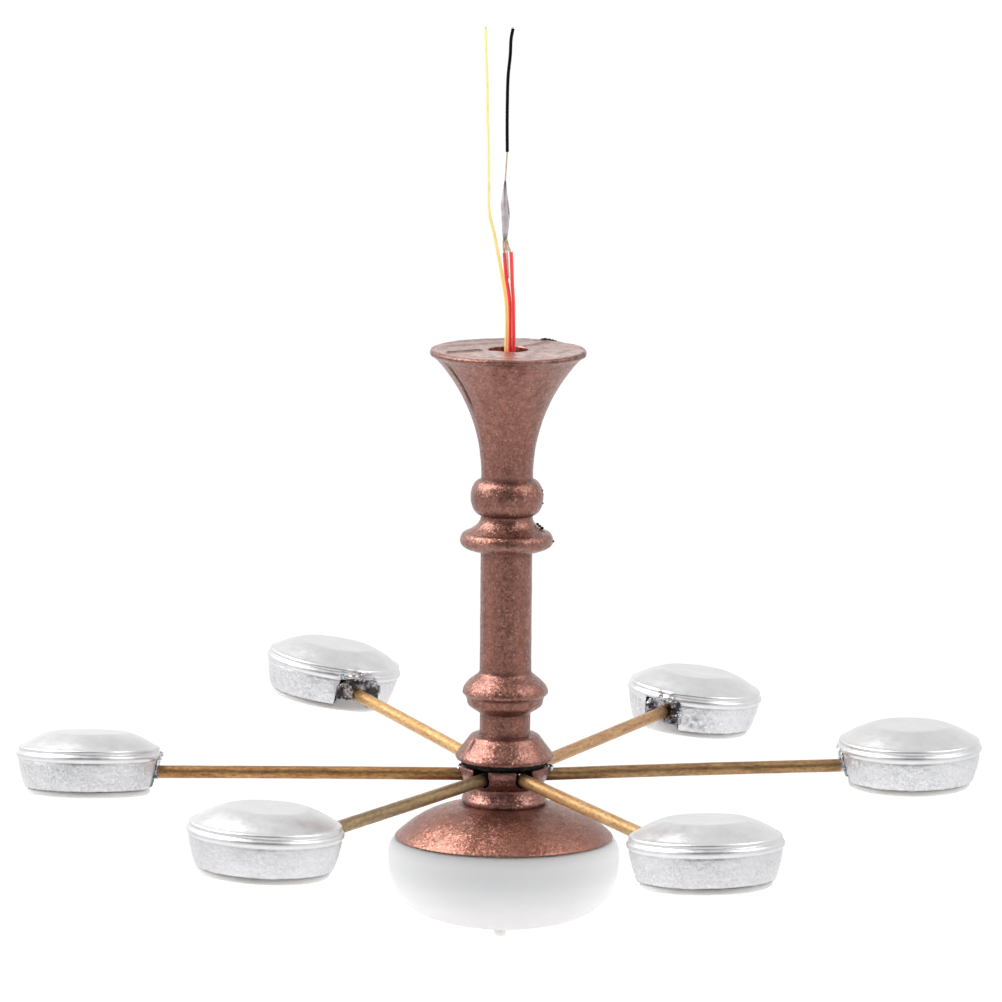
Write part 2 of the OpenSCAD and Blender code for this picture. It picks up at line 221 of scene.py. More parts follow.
def copper_paint(name, deep, mid, flake, gloss=0.0):
    """Fine metallic flake paint, pale where it is worn, brown where it is stained or bare, and near black
    where it is soiled and where shade is painted in.
    """
    paint = Paint(name, Metallic=0.9, Coat_Weight=0.3, Coat_Roughness=0.34)
    blotch = paint.levels(paint.noise(1.4, 5, 0.65), 0.3, 0.7)
    speck = paint.levels(paint.noise(6.0, 3, 0.65), 0.42, 0.6)
    body = paint.mix(blotch, deep, mid)
    body = paint.mix(paint.times(speck, 0.5), body, [c * 0.5 for c in deep])
    flakes = paint.cells(7.0)
    bright = paint.levels(flakes, 0.7, 0.95)
    body = paint.mix(paint.times(bright, 0.22), body, flake)
    worn = paint.times(paint.attribute("wear"), paint.levels(paint.noise(1.1, 5, 0.7), 0.22, 0.5))
    scuffed = paint.mix(
        paint.levels(paint.noise(1.0, 6, 0.75), 0.32, 0.66), (0.24, 0.12, 0.10), (0.66, 0.47, 0.43)
    )
    body = paint.mix(worn, body, scuffed)
    body = paint.mix(paint.attribute("stain"), body, (0.34, 0.105, 0.065))
    # Near black for soiling, and for painted shade in crevices, recesses and round the arms' tubes
    patchy = paint.levels(paint.noise(4.0, 3, 0.6), 0.2, 0.6, 0.6, 1.0)
    dirt_and_shade = paint.times(paint.attribute("grime_and_shade"), patchy)
    body = paint.mix(dirt_and_shade, body, (0.030, 0.014, 0.011))
    rough = paint.levels(paint.noise(2.4, 3), 0.3, 0.7, 0.31 - gloss, 0.43 - gloss)
    grain = paint.bump(paint.noise(5.5, 3, 0.6), 0.04, 0.8, paint.tilted(flakes, 0.32))
    wavy = paint.bump(paint.noise(0.9, 3, 0.6), 0.06, 0.7, grain)
    return paint.finished(body, paint.plus(rough, paint.times(dirt_and_shade, 0.25)), wavy)


def silver_paint():
    """Smooth silver paint on the tops, over a coarse casting skin that shows through on the walls."""
    paint = Paint("silver_paint", Metallic=0.88)
    cast = paint.attribute("cast")
    cloud = paint.levels(paint.noise(0.7, 3, 0.6), 0.3, 0.7)
    body = paint.mix(cloud, (0.56, 0.56, 0.565), (0.64, 0.64, 0.645))
    body = paint.mix(paint.times(cast, 0.7), body, (0.73, 0.73, 0.745))
    heavy = paint.levels(paint.noise(0.3, 2), 0.38, 0.62, 0.25, 0.65)
    pits = paint.levels(paint.noise(4.6, 4, 0.75), 0.38, 0.66)
    pits = paint.times(paint.times(cast, pits), heavy)
    body = paint.mix(pits, body, (0.24, 0.245, 0.27))
    glint = paint.levels(paint.cells(4.6), 0.72, 0.95)
    body = paint.mix(paint.times(cast, paint.times(glint, 0.3)), body, (0.92, 0.92, 0.94))
    body = paint.mix(paint.attribute("grime_and_shade"), body, (0.085, 0.075, 0.075))
    smooth = paint.levels(paint.noise(1.4, 3), 0.3, 0.7, 0.29, 0.38)
    skin = paint.times(paint.noise(3.2, 4, 0.65), cast)
    ripple = paint.bump(paint.noise(4.5, 3, 0.6), 0.02, 0.6, paint.bump(paint.noise(0.5, 3), 0.05, 0.5))
    return paint.finished(
        body, paint.plus(smooth, paint.times(cast, 0.08)), paint.bump(skin, 0.1, 0.9, ripple)
    )


def brass(name, pale, deep, tarnish, amount):
    """Drawn brass, grainy and tarnished, with streaks along the tube, which lies on its own Z axis."""
    paint = Paint(name, Metallic=0.88)
    along = (1, 1, 0.12)
    streak = paint.levels(paint.noise(1.9, 4, 0.65, along, 0.4), 0.34, 0.66)
    body = paint.mix(streak, pale, deep)
    patch = paint.levels(paint.noise(0.55, 5, 0.7, (1, 1, 0.35)), 0.62 - amount, 0.86 - amount)
    body = paint.mix(patch, body, tarnish)
    grain = paint.levels(paint.noise(4.5, 3, 0.7, (1, 1, 0.5)), 0.44, 0.66)
    body = paint.mix(paint.times(grain, 0.5), body, [c * 0.5 for c in tarnish])
    body = paint.mix(paint.attribute("grime_and_shade"), body, (0.045, 0.036, 0.022))
    scratch = paint.bump(paint.noise(4.5, 3, 0.6, (1, 1, 0.4)), 0.035, 0.8)
    dents = paint.bump(paint.noise(1.6, 3, 0.6), 0.04, 0.6, scratch)
    return paint.finished(body, paint.levels(patch, 0, 1, 0.42, 0.58), dents)


def frosted(name, colour, shade, depth_mm, weight, shine):
    """Milky plastic that light soaks into, with a matt moulded skin."""
    paint = Paint(
        name,
        Specular_IOR_Level=shine,
        Subsurface_Weight=weight,
        Subsurface_Radius=(1.0, 0.96, 0.92),
        Subsurface_Scale=depth_mm * MM,
        Coat_Weight=0.24 * shine,
        Coat_Roughness=0.3,
        IOR=1.49,
    )
    cloud = paint.levels(paint.noise(0.22, 4, 0.6), 0.3, 0.7)
    body = paint.mix(cloud, colour, shade)
    speck = paint.levels(paint.noise(3.5, 3, 0.7), 0.66, 0.74)
    body = paint.mix(paint.times(speck, 0.12), body, (0.6, 0.58, 0.55))
    # Painted shade where the mesh asks for it: the globe darkens towards its bottom
    body = paint.mix(paint.attribute("grime_and_shade"), body, (0.43, 0.41, 0.41))
    rough = paint.levels(paint.noise(1.2, 3), 0.3, 0.7, 0.36, 0.5)
    waves = paint.bump(paint.noise(0.35, 2), 0.06, 0.4)
    return paint.finished(body, rough, paint.bump(paint.noise(5.0, 3, 0.6), 0.012, 0.6, waves))


def solder(name, shade_tone, glint_tone):
    """Dirty lumps of tin, patched at random in a dark tone and a bright one: painted shade and painted
    glints.
    """
    paint = Paint(name, Metallic=0.92)
    cloud = paint.levels(paint.noise(1.1, 4, 0.6), 0.44, 0.6)
    rough = paint.levels(paint.noise(2.0, 3), 0.3, 0.7, 0.16, 0.42)
    lumps = paint.bump(paint.noise(1.8, 3, 0.55), 0.09, 0.8)
    return paint.finished(paint.mix(cloud, shade_tone, glint_tone), rough, lumps)


def splice_skin():
    """Smooth dull tin, grey with a trace of lilac, burnt dark where the wires enter it."""
    paint = Paint("splice_skin", Metallic=0.55, Coat_Weight=0.2, Coat_Roughness=0.3)
    cloud = paint.levels(paint.noise(1.6, 3, 0.6), 0.35, 0.65)
    body = paint.mix(cloud, (0.40, 0.36, 0.38), (0.52, 0.47, 0.50))
    patchy = paint.levels(paint.noise(5.0, 3), 0.3, 0.6, 0.5, 1.0)
    body = paint.mix(paint.times(paint.attribute("grime_and_shade"), patchy), body, (0.05, 0.035, 0.035))
    rough = paint.levels(paint.noise(2.0, 3), 0.3, 0.7, 0.3, 0.45)
    return paint.finished(body, rough, paint.bump(paint.noise(4.0, 3, 0.6), 0.02, 0.6))


def dark_filler():
    """Black epoxy, dull with a few glossy patches."""
    paint = Paint("dark_filler", Specular_IOR_Level=0.2)
    cloud = paint.levels(paint.noise(1.5, 4, 0.65), 0.4, 0.7)
    body = paint.mix(cloud, (0.004, 0.003, 0.003), (0.03, 0.018, 0.016))
    rough = paint.levels(paint.noise(2.2, 3), 0.3, 0.7, 0.4, 0.8)
    return paint.finished(body, rough, paint.bump(paint.noise(1.6, 4, 0.6), 0.2, 1.0))


def insulation(name, upper, lower, from_z, to_z, rough=0.36, shine=0.5):
    """Thin drawn plastic round a wire, which may change colour between two heights in mm."""
    paint = Paint(name, Subsurface_Weight=0.15, Subsurface_Scale=0.1 * MM, Specular_IOR_Level=shine)
    rise = paint.levels(paint.height(), from_z * MM, to_z * MM)
    body = paint.mix(rise, lower, upper)
    stain = paint.levels(paint.noise(0.9, 4, 0.7), 0.5, 0.75)
    body = paint.mix(paint.times(stain, 0.25), body, [c * 0.6 for c in lower])
    skin = paint.levels(paint.noise(2.0, 3), 0.3, 0.7, rough - 0.06, rough + 0.1)
    return paint.finished(body, skin, paint.bump(paint.noise(4.0, 3), 0.012, 0.5))


def bare_metal(name, pale, deep):
    """Bright wire or enamel with a mottled skin."""
    paint = Paint(name, Metallic=0.9)
    body = paint.mix(paint.levels(paint.noise(2.5, 4, 0.6), 0.35, 0.65), pale, deep)
    rough = paint.levels(paint.noise(3.0, 3), 0.3, 0.7, 0.22, 0.42)
    return paint.finished(body, rough, paint.bump(paint.noise(5.0, 3), 0.01, 0.5))


def plastic(name, pale, deep, per_mm, rough):
    """Board lacquer or phosphor gel, with fine grain."""
    paint = Paint(name, Coat_Weight=0.2, Coat_Roughness=0.2)
    body = paint.mix(paint.levels(paint.noise(per_mm, 4), 0.35, 0.65), pale, deep)
    skin = paint.levels(paint.noise(per_mm * 2, 3), 0.3, 0.7, rough - 0.1, rough + 0.1)
    return paint.finished(body, skin, paint.bump(paint.noise(per_mm * 3, 3), 0.01, 0.5))


COPPER = copper_paint("copper_paint", (0.17, 0.065, 0.047), (0.31, 0.135, 0.103), (0.72, 0.44, 0.33))
# Lightened copies of the copper paint for the hub and the cap: painted light
COPPER_HUB_LIGHTENED = copper_paint(
    "copper_paint_hub_lightened", (0.19, 0.078, 0.062), (0.32, 0.146, 0.12), (0.70, 0.42, 0.32), 0.05
)
COPPER_CAP_LIGHTENED = copper_paint(
    "copper_paint_cap_lightened", (0.20, 0.074, 0.050), (0.36, 0.155, 0.11), (0.72, 0.44, 0.33)
)
SILVER = silver_paint()
GLOBE = frosted("frosted_globe", (0.96, 0.925, 0.93), (0.99, 0.955, 0.96), 2.2, 0.9, 0.15)
# The lens's frosted plastic, far greyer than the globe's: painted shade under the head
SHADED_LENS = frosted("frosted_lens", (0.50, 0.49, 0.48), (0.58, 0.57, 0.56), 0.7, 0.5, 0.5)
SOLDER = solder("solder", (0.045, 0.045, 0.05), (0.40, 0.40, 0.43))
# A paler copy of the solder for the side heads' lumps and the spatter, with highlights painted in: painted
# light
SOLDER_LIT_COPY = solder("solder_lit_copy", (0.34, 0.36, 0.41), (0.74, 0.76, 0.80))
SPLICE = splice_skin()
FILLER = dark_filler()
YELLOW = insulation("wire_yellow", (0.90, 0.84, 0.42), (0.97, 0.60, 0.20), 5, 13)
RED = insulation("wire_red", (0.92, 0.07, 0.07), (0.88, 0.045, 0.05), -5, 6)
BLACK = insulation("wire_black", (0.006, 0.004, 0.004), (0.008, 0.005, 0.005), 16, 26, 0.5, 0.05)
CONDUCTOR = bare_metal("bare_conductor", (0.72, 0.52, 0.36), (0.48, 0.36, 0.28))
ENAMEL = bare_metal("enamelled_wire", (0.58, 0.20, 0.08), (0.40, 0.12, 0.05))
BOARD = plastic("led_board", (0.80, 0.80, 0.76), (0.68, 0.68, 0.64), 1.5, 0.4)
PHOSPHOR = plastic("led_phosphor", (0.85, 0.72, 0.16), (0.75, 0.58, 0.10), 3.0, 0.45)

# Each arm's tube in its own colours: two brass tones, the tarnish over them, and how much of it
TUBE_TONES = {
    1: ((0.44, 0.27, 0.125), (0.27, 0.15, 0.07), (0.13, 0.085, 0.045), 0.12),
    2: ((0.56, 0.34, 0.17), (0.40, 0.215, 0.10), (0.24, 0.15, 0.08), 0.04),
    3: ((0.70, 0.43, 0.19), (0.52, 0.29, 0.11), (0.30, 0.19, 0.09), -0.02),
    4: ((0.46, 0.25, 0.10), (0.28, 0.135, 0.05), (0.10, 0.06, 0.032), 0.10),
    5: ((0.40, 0.27, 0.14), (0.28, 0.19, 0.10), (0.17, 0.145, 0.095), 0.14),
    6: ((0.60, 0.37, 0.17), (0.44, 0.26, 0.105), (0.25, 0.165, 0.08), 0.03),
}


# ---------------------------------------------------------------- mesh helpers

def dense(outline, step):
    """The outline with points added until no two neighbours are further apart than step."""
    points = [outline[0]]
    for a, b in zip(outline, outline[1:]):
        count = max(1, math.ceil(math.dist(a, b) / step))
        points += [
            (a[0] + (b[0] - a[0]) * k / count, a[1] + (b[1] - a[1]) * k / count)
            for k in range(1, count + 1)
        ]
    return points


def softened(outline, passes):
    """The outline with its corners rounded, its two ends kept."""
    points = [tuple(p) for p in outline]
    for _ in range(passes):
        points = (
            [points[0]]
            + [
                tuple((a[k] + 2 * b[k] + c[k]) / 4 for k in (0, 1))
                for a, b, c in zip(points, points[1:], points[2:])
            ]
            + [points[-1]]
        )
    return points


def eased(r0, z0, r1, z1, shape, steps):
    """From one radius and height to another: shape 1 is straight, less bulges, more hollows."""
    return [
        (r0 + (r1 - r0) * (i / steps) ** shape, z0 + (z1 - z0) * i / steps)
        for i in range(steps + 1)
    ]


def elliptic(r, z, a, b, start, end, steps):
    """Part of an ellipse about (r, z) between two angles in degrees."""
    angles = [math.radians(start + (end - start) * i / steps) for i in range(steps + 1)]
    return [(r + a * math.cos(t), z + b * math.sin(t)) for t in angles]


def new_object(name, mesh, material):
    piece = bpy.data.objects.new(name, mesh)
    bpy.context.scene.collection.objects.link(piece)
    mesh.materials.append(material)
    return piece


def finish_mesh(mesh, corner=35):
    """Outward normals, smooth faces, and creases where faces meet at more than corner degrees."""
    edit = bmesh.new()
    edit.from_mesh(mesh)
    bmesh.ops.recalc_face_normals(edit, faces=edit.faces)
    edit.to_mesh(mesh)
    edit.free()
    mesh.shade_smooth()
    mesh.set_sharp_from_angle(angle=math.radians(corner))
    mesh.update()


def lathe(name, outline, closed=False, segments=SEGMENTS):
    """A mesh in metres, turned about Z from an outline of (radius, height) points in mm."""
    vertices, rings, faces = [], [], []
    for r, z in outline:
        if r < 1e-4:
            rings.append([len(vertices)] * segments)
            vertices.append((0, 0, z * MM))
            continue
        rings.append(list(range(len(vertices), len(vertices) + segments)))
        vertices += [
            (r * MM * math.cos(t), r * MM * math.sin(t), z * MM)
            for t in (2 * math.pi * k / segments for k in range(segments))
        ]
    pairs = list(zip(rings, rings[1:]))
    if closed:
        pairs.append((rings[-1], rings[0]))
    for upper, lower in pairs:
        for k in range(segments):
            n = (k + 1) % segments
            corners = [upper[k], lower[k], lower[n], upper[n]]
            faces.append(list(dict.fromkeys(corners)))
    mesh = bpy.data.meshes.new(name)
    mesh.from_pydata(vertices, [], faces)
    finish_mesh(mesh)
    return mesh


def points_of(mesh):
    """A mesh's points in mm."""
    flat = np.zeros(len(mesh.vertices) * 3)
    mesh.vertices.foreach_get("co", flat)
    return flat.reshape(-1, 3) / MM


def unique_points(node):
    return np.unique(np.round(points_of(NODES[node].data), 4), axis=0)


def set_points(mesh, points):
    mesh.vertices.foreach_set("co", (points * MM).ravel())
    mesh.update()


def normals_of(mesh):
    flat = np.zeros(len(mesh.vertices) * 3)
    mesh.vertices.foreach_get("normal", flat)
    return flat.reshape(-1, 3)


def set_values(mesh, name, values):
    """Stores one number for each vertex, for the material to read."""
    made = mesh.attributes.get(name) or mesh.attributes.new(name, "FLOAT", "POINT")
    made.data.foreach_set("value", np.clip(np.asarray(values, float), 0, 1))


def fractal(points, per_mm, octaves, seed):
    """Smooth noise of about -1 to 1 at each point, with finer octaves added at half strength."""
    shift = Vector((seed * 17.3, seed * 5.1, seed * 9.7))
    total = np.zeros(len(points))
    for octave in range(octaves):
        scale = per_mm * 2**octave
        total += [noise.noise(Vector(p) * scale + shift) / 2**octave for p in points]
    return total


def roughen(mesh, depth, per_mm, seed, mask=1.0, octaves=3):
    """Moves each vertex along its normal by noise of this depth in mm."""
    points = points_of(mesh)
    push = depth * mask * fractal(points, per_mm, octaves, seed)
    set_points(mesh, points + normals_of(mesh) * push[:, None])


def bump_shape(distance, width):
    """1 in the middle of a mark, falling smoothly to 0 at its width."""
    t = np.clip(1 - np.abs(distance) / width, 0, 1)
    return t * t * (3 - 2 * t)


def radii(points):
    """Distance of each point from the Z axis."""
    return np.hypot(points[:, 0], points[:, 1])


def distance_to_line(points, a, b):
    """Distance in plan from each point to the line between two points."""
    a, b = np.array(a, float), np.array(b, float)
    run = b - a
    t = np.clip(((points[:, :2] - a) @ run) / (run @ run), 0, 1)
    return np.linalg.norm(points[:, :2] - (a + t[:, None] * run), axis=1)


def applied(piece):
    """Replaces a piece's mesh with what its modifiers make of it."""
    graph = bpy.context.evaluated_depsgraph_get()
    mesh = bpy.data.meshes.new_from_object(piece.evaluated_get(graph))
    piece.modifiers.clear()
    old, piece.data = piece.data, mesh
    bpy.data.meshes.remove(old)


def cast_copy(node, name, material, voxel, passes):
    """A fine copy of a CAD node with its edges melted, as on a poured or painted part."""
    mesh = NODES[node].data.copy()
    mesh.materials.clear()
    edit = bmesh.new()
    edit.from_mesh(mesh)
    bmesh.ops.remove_doubles(edit, verts=edit.verts, dist=1e-4 * MM)
    edit.to_mesh(mesh)
    edit.free()
    piece = new_object(name, mesh, material)
    skin = piece.modifiers.new("skin", "REMESH")
    skin.mode = "VOXEL"
    skin.voxel_size = voxel * MM
    melt = piece.modifiers.new("melt", "SMOOTH")
    melt.factor = 0.5
    melt.iterations = passes
    applied(piece)
    finish_mesh(piece.data, 60)
    return piece


def settle(piece, slot_name, *nodes):
    """Rides the piece on the one body, and has it stand for its CAD nodes."""
    if nodes:
        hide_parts(*nodes)
    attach(piece, "root")
    return piece


# ---------------------------------------------------------------- supply wires

WIRE_D = 0.3
BLACK_D = 0.27
STRAND_D = 0.12

YELLOW_ROUTE = [
    (-2.02, -0.7, 25.7), (-1.97, -0.7, 23.6), (-1.87, -0.7, 21.1), (-1.82, -0.7, 18.7),
    (-1.72, -0.7, 16.2), (-1.68, -0.7, 13), (-1.66, -0.7, 11.3), (-1.52, -0.7, 10.5),
    (-1.3, -0.7, 9.7), (-1.12, -0.7, 8.9), (-0.97, -0.75, 8.1), (-0.8, -0.8, 7.3),
    (-0.62, -0.85, 6.4), (-0.46, -0.9, 5.6), (-0.33, -0.9, 4.8), (-0.22, -0.9, 4),
    (-0.14, -0.9, 2.4), (-0.16, -0.9, 0.3), (-0.16, -0.9, -2), (-0.3, -0.6, -12),
    (-0.3, -0.4, -22), (-0.3, -0.3, -31), (-0.25, -0.2, -34.3),
]
RED_A_ROUTE = [
    (-0.39, -0.5, 7.8), (-0.32, -0.5, 7), (-0.27, -0.5, 6.4), (-0.2, -0.48, 5.7),
    (-0.04, -0.46, 4.8), (0.06, -0.45, 3.9), (0.1, -0.45, 2.5), (0.12, -0.45, 0.3),
    (0.1, -0.4, -2), (-0.2, 0.1, -12), (-0.1, 0.2, -22), (0, 0.25, -31), (0, 0.3, -34.3),
]
RED_B_ROUTE = [
    (0.15, -0.6, 7.9), (0.2, -0.6, 7.1), (0.24, -0.6, 6.2), (0.28, -0.6, 5.2),
    (0.35, -0.6, 4.2), (0.4, -0.6, 2.5), (0.43, -0.6, 0.5), (0.42, -0.6, -2),
    (0.3, -0.5, -12), (0.3, -0.4, -22), (0.3, -0.3, -31), (0.3, -0.15, -34.3),
]
BLACK_ROUTE = [
    (0.15, -0.6, 25.7), (0.02, -0.6, 25), (-0.05, -0.6, 23.6), (-0.2, -0.6, 22),
    (-0.25, -0.6, 19.5), (-0.25, -0.6, 17.9), (-0.22, -0.6, 15.9),
]
CORE_ROUTE = [(-0.22, -0.6, 16.1), (-0.25, -0.6, 15.4), (-0.3, -0.6, 14.6), (-0.36, -0.6, 13.6)]
# The bared strands of the two red wires, spread a little as they run up into the splice
STRAND_ROUTES = [
    [(-0.39, -0.5, 7.7), (-0.47, -0.54, 8.3), (-0.44, -0.6, 9.2)],
    [(-0.36, -0.46, 7.7), (-0.33, -0.5, 8.3), (-0.37, -0.56, 9.2)],
    [(0.15, -0.6, 7.8), (-0.06, -0.62, 8.4), (-0.27, -0.6, 9.2)],
    [(0.12, -0.64, 7.8), (-0.16, -0.68, 8.3), (-0.32, -0.64, 9.2)],
    [(-0.02, -0.62, 5.8), (-0.08, -0.64, 6.7), (-0.14, -0.64, 7.6), (-0.24, -0.64, 8.4),
     (-0.3, -0.6, 9.2)],
]
# The soldered splice: radius by height, and where its middle wanders in X
SPLICE_OUTLINE = [
    (0, 8.82), (0.12, 8.84), (0.17, 9.0), (0.23, 9.3), (0.265, 9.7), (0.31, 10.3), (0.34, 10.8),
    (0.345, 11.2), (0.325, 11.7), (0.29, 12.0), (0.2, 12.5), (0.13, 13.0), (0.09, 13.5), (0, 13.85),
]
SPLICE_X = ((8.8, -0.33), (10.2, -0.31), (10.9, -0.3), (11.9, -0.4), (13.0, -0.37), (13.9, -0.36))
SPLICE_Y = -0.6


def wire(name, route, diameter, material):
    """A round wire along one smooth open curve through the points of its route."""
    data = bpy.data.curves.new(name, "CURVE")
    data.dimensions = "3D"
    data.bevel_depth = diameter * MM / 2
    data.bevel_resolution = 5
    data.use_fill_caps = True
    data.resolution_u = 8
    spline = data.splines.new("BEZIER")
    spline.bezier_points.add(len(route) - 1)
    for point, at in zip(spline.bezier_points, route):
        point.co = Vector(at) * MM
        point.handle_left_type = point.handle_right_type = "AUTO"
    data.materials.append(material)
    piece = bpy.data.objects.new(name, data)
    bpy.context.scene.collection.objects.link(piece)
    return piece


def splice():
    """The soldered splice, burnt at its ends and along one streak."""
    mesh = lathe("splice", softened(dense(SPLICE_OUTLINE, 0.08), 1), segments=48)
    points = points_of(mesh)
    levels, middles = zip(*SPLICE_X)
    streak = bump_shape(np.hypot(points[:, 0] - 0.25, points[:, 1] + 0.2), 0.16)
    ends = bump_shape(points[:, 2] - 8.8, 0.7) + bump_shape(points[:, 2] - 13.6, 1.3)
    set_values(mesh, "grime_and_shade", ends + streak * (points[:, 2] > 10.9) * 0.9)
    points[:, 0] += np.interp(points[:, 2], levels, middles)
    points[:, 1] += SPLICE_Y
    set_points(mesh, points)
    roughen(mesh, 0.022, 1.6, 3.0)
    roughen(mesh, 0.008, 6.0, 4.0)
    return settle(new_object("splice", mesh, SPLICE), "solder", "splice_solder")


def supply_wires():
    yellow = settle(
        wire("yellow_lead", YELLOW_ROUTE, WIRE_D, YELLOW), "wire_yellow", "yellow_wire"
    )
    red_a = settle(wire("red_lead_a", RED_A_ROUTE, WIRE_D, RED), "wire_red", "red_wire_a")
    red_b = settle(wire("red_lead_b", RED_B_ROUTE, WIRE_D, RED), "wire_red", "red_wire_b")
    black = settle(wire("black_lead", BLACK_ROUTE, BLACK_D, BLACK), "wire_black", "black_wire")
    core = settle(
        wire("black_lead_core", CORE_ROUTE, STRAND_D, CONDUCTOR), "bare_conductor", "black_wire_core"
    )
    strands = [
        settle(wire(f"red_strand_{i}", route, STRAND_D, CONDUCTOR), "bare_conductor")
        for i, route in enumerate(STRAND_ROUTES, 1)
    ]
    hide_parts("red_wire_strands")
    for name, route in (("yellow_tip", YELLOW_ROUTE), ("black_tip", BLACK_ROUTE)):
        end = Vector(route[0])
        tip = [end + Vector((0, 0, z)) for z in (-0.6, -0.2, 0.12)]
        settle(wire(name, tip, STRAND_D, CONDUCTOR), "bare_conductor")
    splice()


supply_wires()


# ---------------------------------------------------------------- canopy column

SHAFT_R = 2.1
CANOPY_H = 10.3
RIM_H = 0.25
BEAD_Z, BEAD_R, BEAD_HALF = -12.05, 2.95, 1.45
OGEE_Z = -13.6
COLLAR_Z = -15.65
COLLAR_R = 3.8
LOWER_COLLAR_TOP = -26.5
LOWER_COLLAR_LIP = -28.2
LOWER_COLLAR_R = 3.5
NECK_Z = -29.8
SKIRT_TOP = -31.8
SKIRT_R = 4.05
BORE_R = 1.3
OUTLET_R = 1.62
OUTLET_H = 2
RIM_FOOT = -0.55  # where the canopy's rounded rim meets its side
PARTING = -149  # bearing of the mould's parting line, left of the front
TOP_TILT = 0.2  # how far the top face rises at its back edge and falls at its front
# Painted shade in the crevices round the side: height and half width
CREVICE_SHADE = [
    (-10.5, 0.2), (-13.5, 0.25), (-16.6, 0.3), (-26.4, 0.2), (-28.45, 0.16), (-29.9, 0.3),
    (-31.5, 0.2),
]
# Where the parting line opens up, under the rim and on the skirt: height and half height
CRACKS = [(-2.75, 2.5), (-32.25, 0.5)]
# Scrapes on the top face: two ends in plan, width, depth and how dark it is
TOP_MARKS = [
    ((-4.8, -2.5), (-2.4, -1.0), 0.55, -0.17, 0.85),
    ((-5.0, 0.9), (-0.9, 3.4), 0.7, -0.08, 0.35),
    ((-4.6, 3.2), (-0.5, 5.6), 0.5, -0.06, 0.2),
    ((2.9, 0.6), (1.4, -4.6), 0.7, -0.07, 0.35),
    ((1.3, 1.5), (3.2, 4.2), 0.5, -0.1, 0.4),
    ((3.9, -2.2), (5.0, -0.4), 0.4, 0.04, 0.3),
    ((2.2, 4.9), (4.1, 4.6), 0.3, 0.04, 0.7),
    ((-3.4, -4.3), (1.8, -5.6), 0.5, 0.05, 0.2),
]
# Chips and stains on the side: bearing, height, half width, half height and how dark it is
SIDE_MARKS = [
    (-12, -14.75, 0.3, 0.16, 1.0),
    (-8, -11.6, 0.2, 0.7, 0.9),
    (-24, -15.9, 0.5, 0.25, 0.4),
    (-160, -16.1, 0.5, 0.2, 0.35),
]


def trumpet(steps):
    """The canopy's side, one arc that leaves the shaft upright."""
    flare, height = CANOPY_R - SHAFT_R, CANOPY_H - RIM_H
    radius = (height**2 + flare**2) / (2 * flare)
    rises = [height * (1 - i / steps) for i in range(steps + 1)]
    return [(SHAFT_R + radius - math.sqrt(radius**2 - up**2), up - CANOPY_H) for up in rises]


def column_outline():
    """All round the column's section, from the wire outlet's edge out and down, and back up the bore."""
    inner_r, waist_r = COLLAR_R - 0.5, SHAFT_R - 0.03
    lower_collar = [
        (SHAFT_R + (LOWER_COLLAR_R - SHAFT_R) * math.sin(math.pi * i / 28),
         LOWER_COLLAR_TOP - 1.6 * i / 14)
        for i in range(15)
    ]
    side = (
        [(CANOPY_R - 0.3, 0), (CANOPY_R - 0.1, -0.05), (CANOPY_R, -0.22), (CANOPY_R - 0.02, -0.4),
         (CANOPY_R - 0.16, -0.56)]
        + [p for p in trumpet(40) if p[1] < -0.75]
        + elliptic(SHAFT_R, BEAD_Z, BEAD_R - SHAFT_R, BEAD_HALF, 90, -90, 28)
        + eased(SHAFT_R, OGEE_Z, inner_r, OGEE_Z - 1.3, 2.2, 12)
        + elliptic(inner_r, COLLAR_Z, COLLAR_R - inner_r, 0.75, 86, 0, 12)
        + elliptic(SHAFT_R, COLLAR_Z, COLLAR_R - SHAFT_R, 0.8, -10, -90, 14)
        + lower_collar
        + [(LOWER_COLLAR_R, LOWER_COLLAR_LIP), (LOWER_COLLAR_R - 0.3, LOWER_COLLAR_LIP - 0.2)]
        + eased(LOWER_COLLAR_R - 0.45, NECK_Z + 0.65, waist_r, NECK_Z, 1.1, 6)
        + elliptic(waist_r, SKIRT_TOP, 0.8, 0.2, 90, 20, 8)
        + [(SKIRT_R, COLUMN_Z + 0.2), (SKIRT_R - 0.1, COLUMN_Z)]
    )
    top = dense([(OUTLET_R, -0.06), (OUTLET_R + 0.06, 0), (CANOPY_R - 0.3, 0)], 0.11)
    outside = softened(dense(side, 0.2), 1)
    foot = dense([(SKIRT_R - 0.1, COLUMN_Z), (BORE_R, COLUMN_Z)], 0.5)
    inside = dense([(BORE_R, COLUMN_Z), (BORE_R, -OUTLET_H)], 1.5)
    outlet = dense([(BORE_R, -OUTLET_H), (OUTLET_R, -OUTLET_H), (OUTLET_R, -0.06)], 0.2)
    return top + outside[1:] + foot[1:] + inside[1:] + outlet[1:-1]


def parting_line(points, radius, bearing, uneven):
    """The line where the mould's halves meet, and where it opens up under the rim and on the skirt."""
    off_line = radius * np.radians((bearing - PARTING + 180) % 360 - 180)
    off_back = radius * np.radians((bearing - PARTING) % 360 - 180)
    seam = bump_shape(off_line + 0.08 * uneven, 0.34) + bump_shape(off_back, 0.14)
    crack = sum(bump_shape(points[:, 2] - level, tall) for level, tall in CRACKS)
    return seam, np.clip(crack * 2, 0, 1) * seam


def scraped_top(points, uneven):
    """How far the scrapes lift the top face, and how dark they are."""
    lift, grime_and_shade = 0.06 * uneven, np.zeros(len(points))
    for a, b, width, depth, dark in TOP_MARKS:
        mark = bump_shape(distance_to_line(points, a, b) + 0.12 * uneven, width)
        lift -= depth * mark
        grime_and_shade = np.maximum(grime_and_shade, dark * mark)
    return lift, grime_and_shade


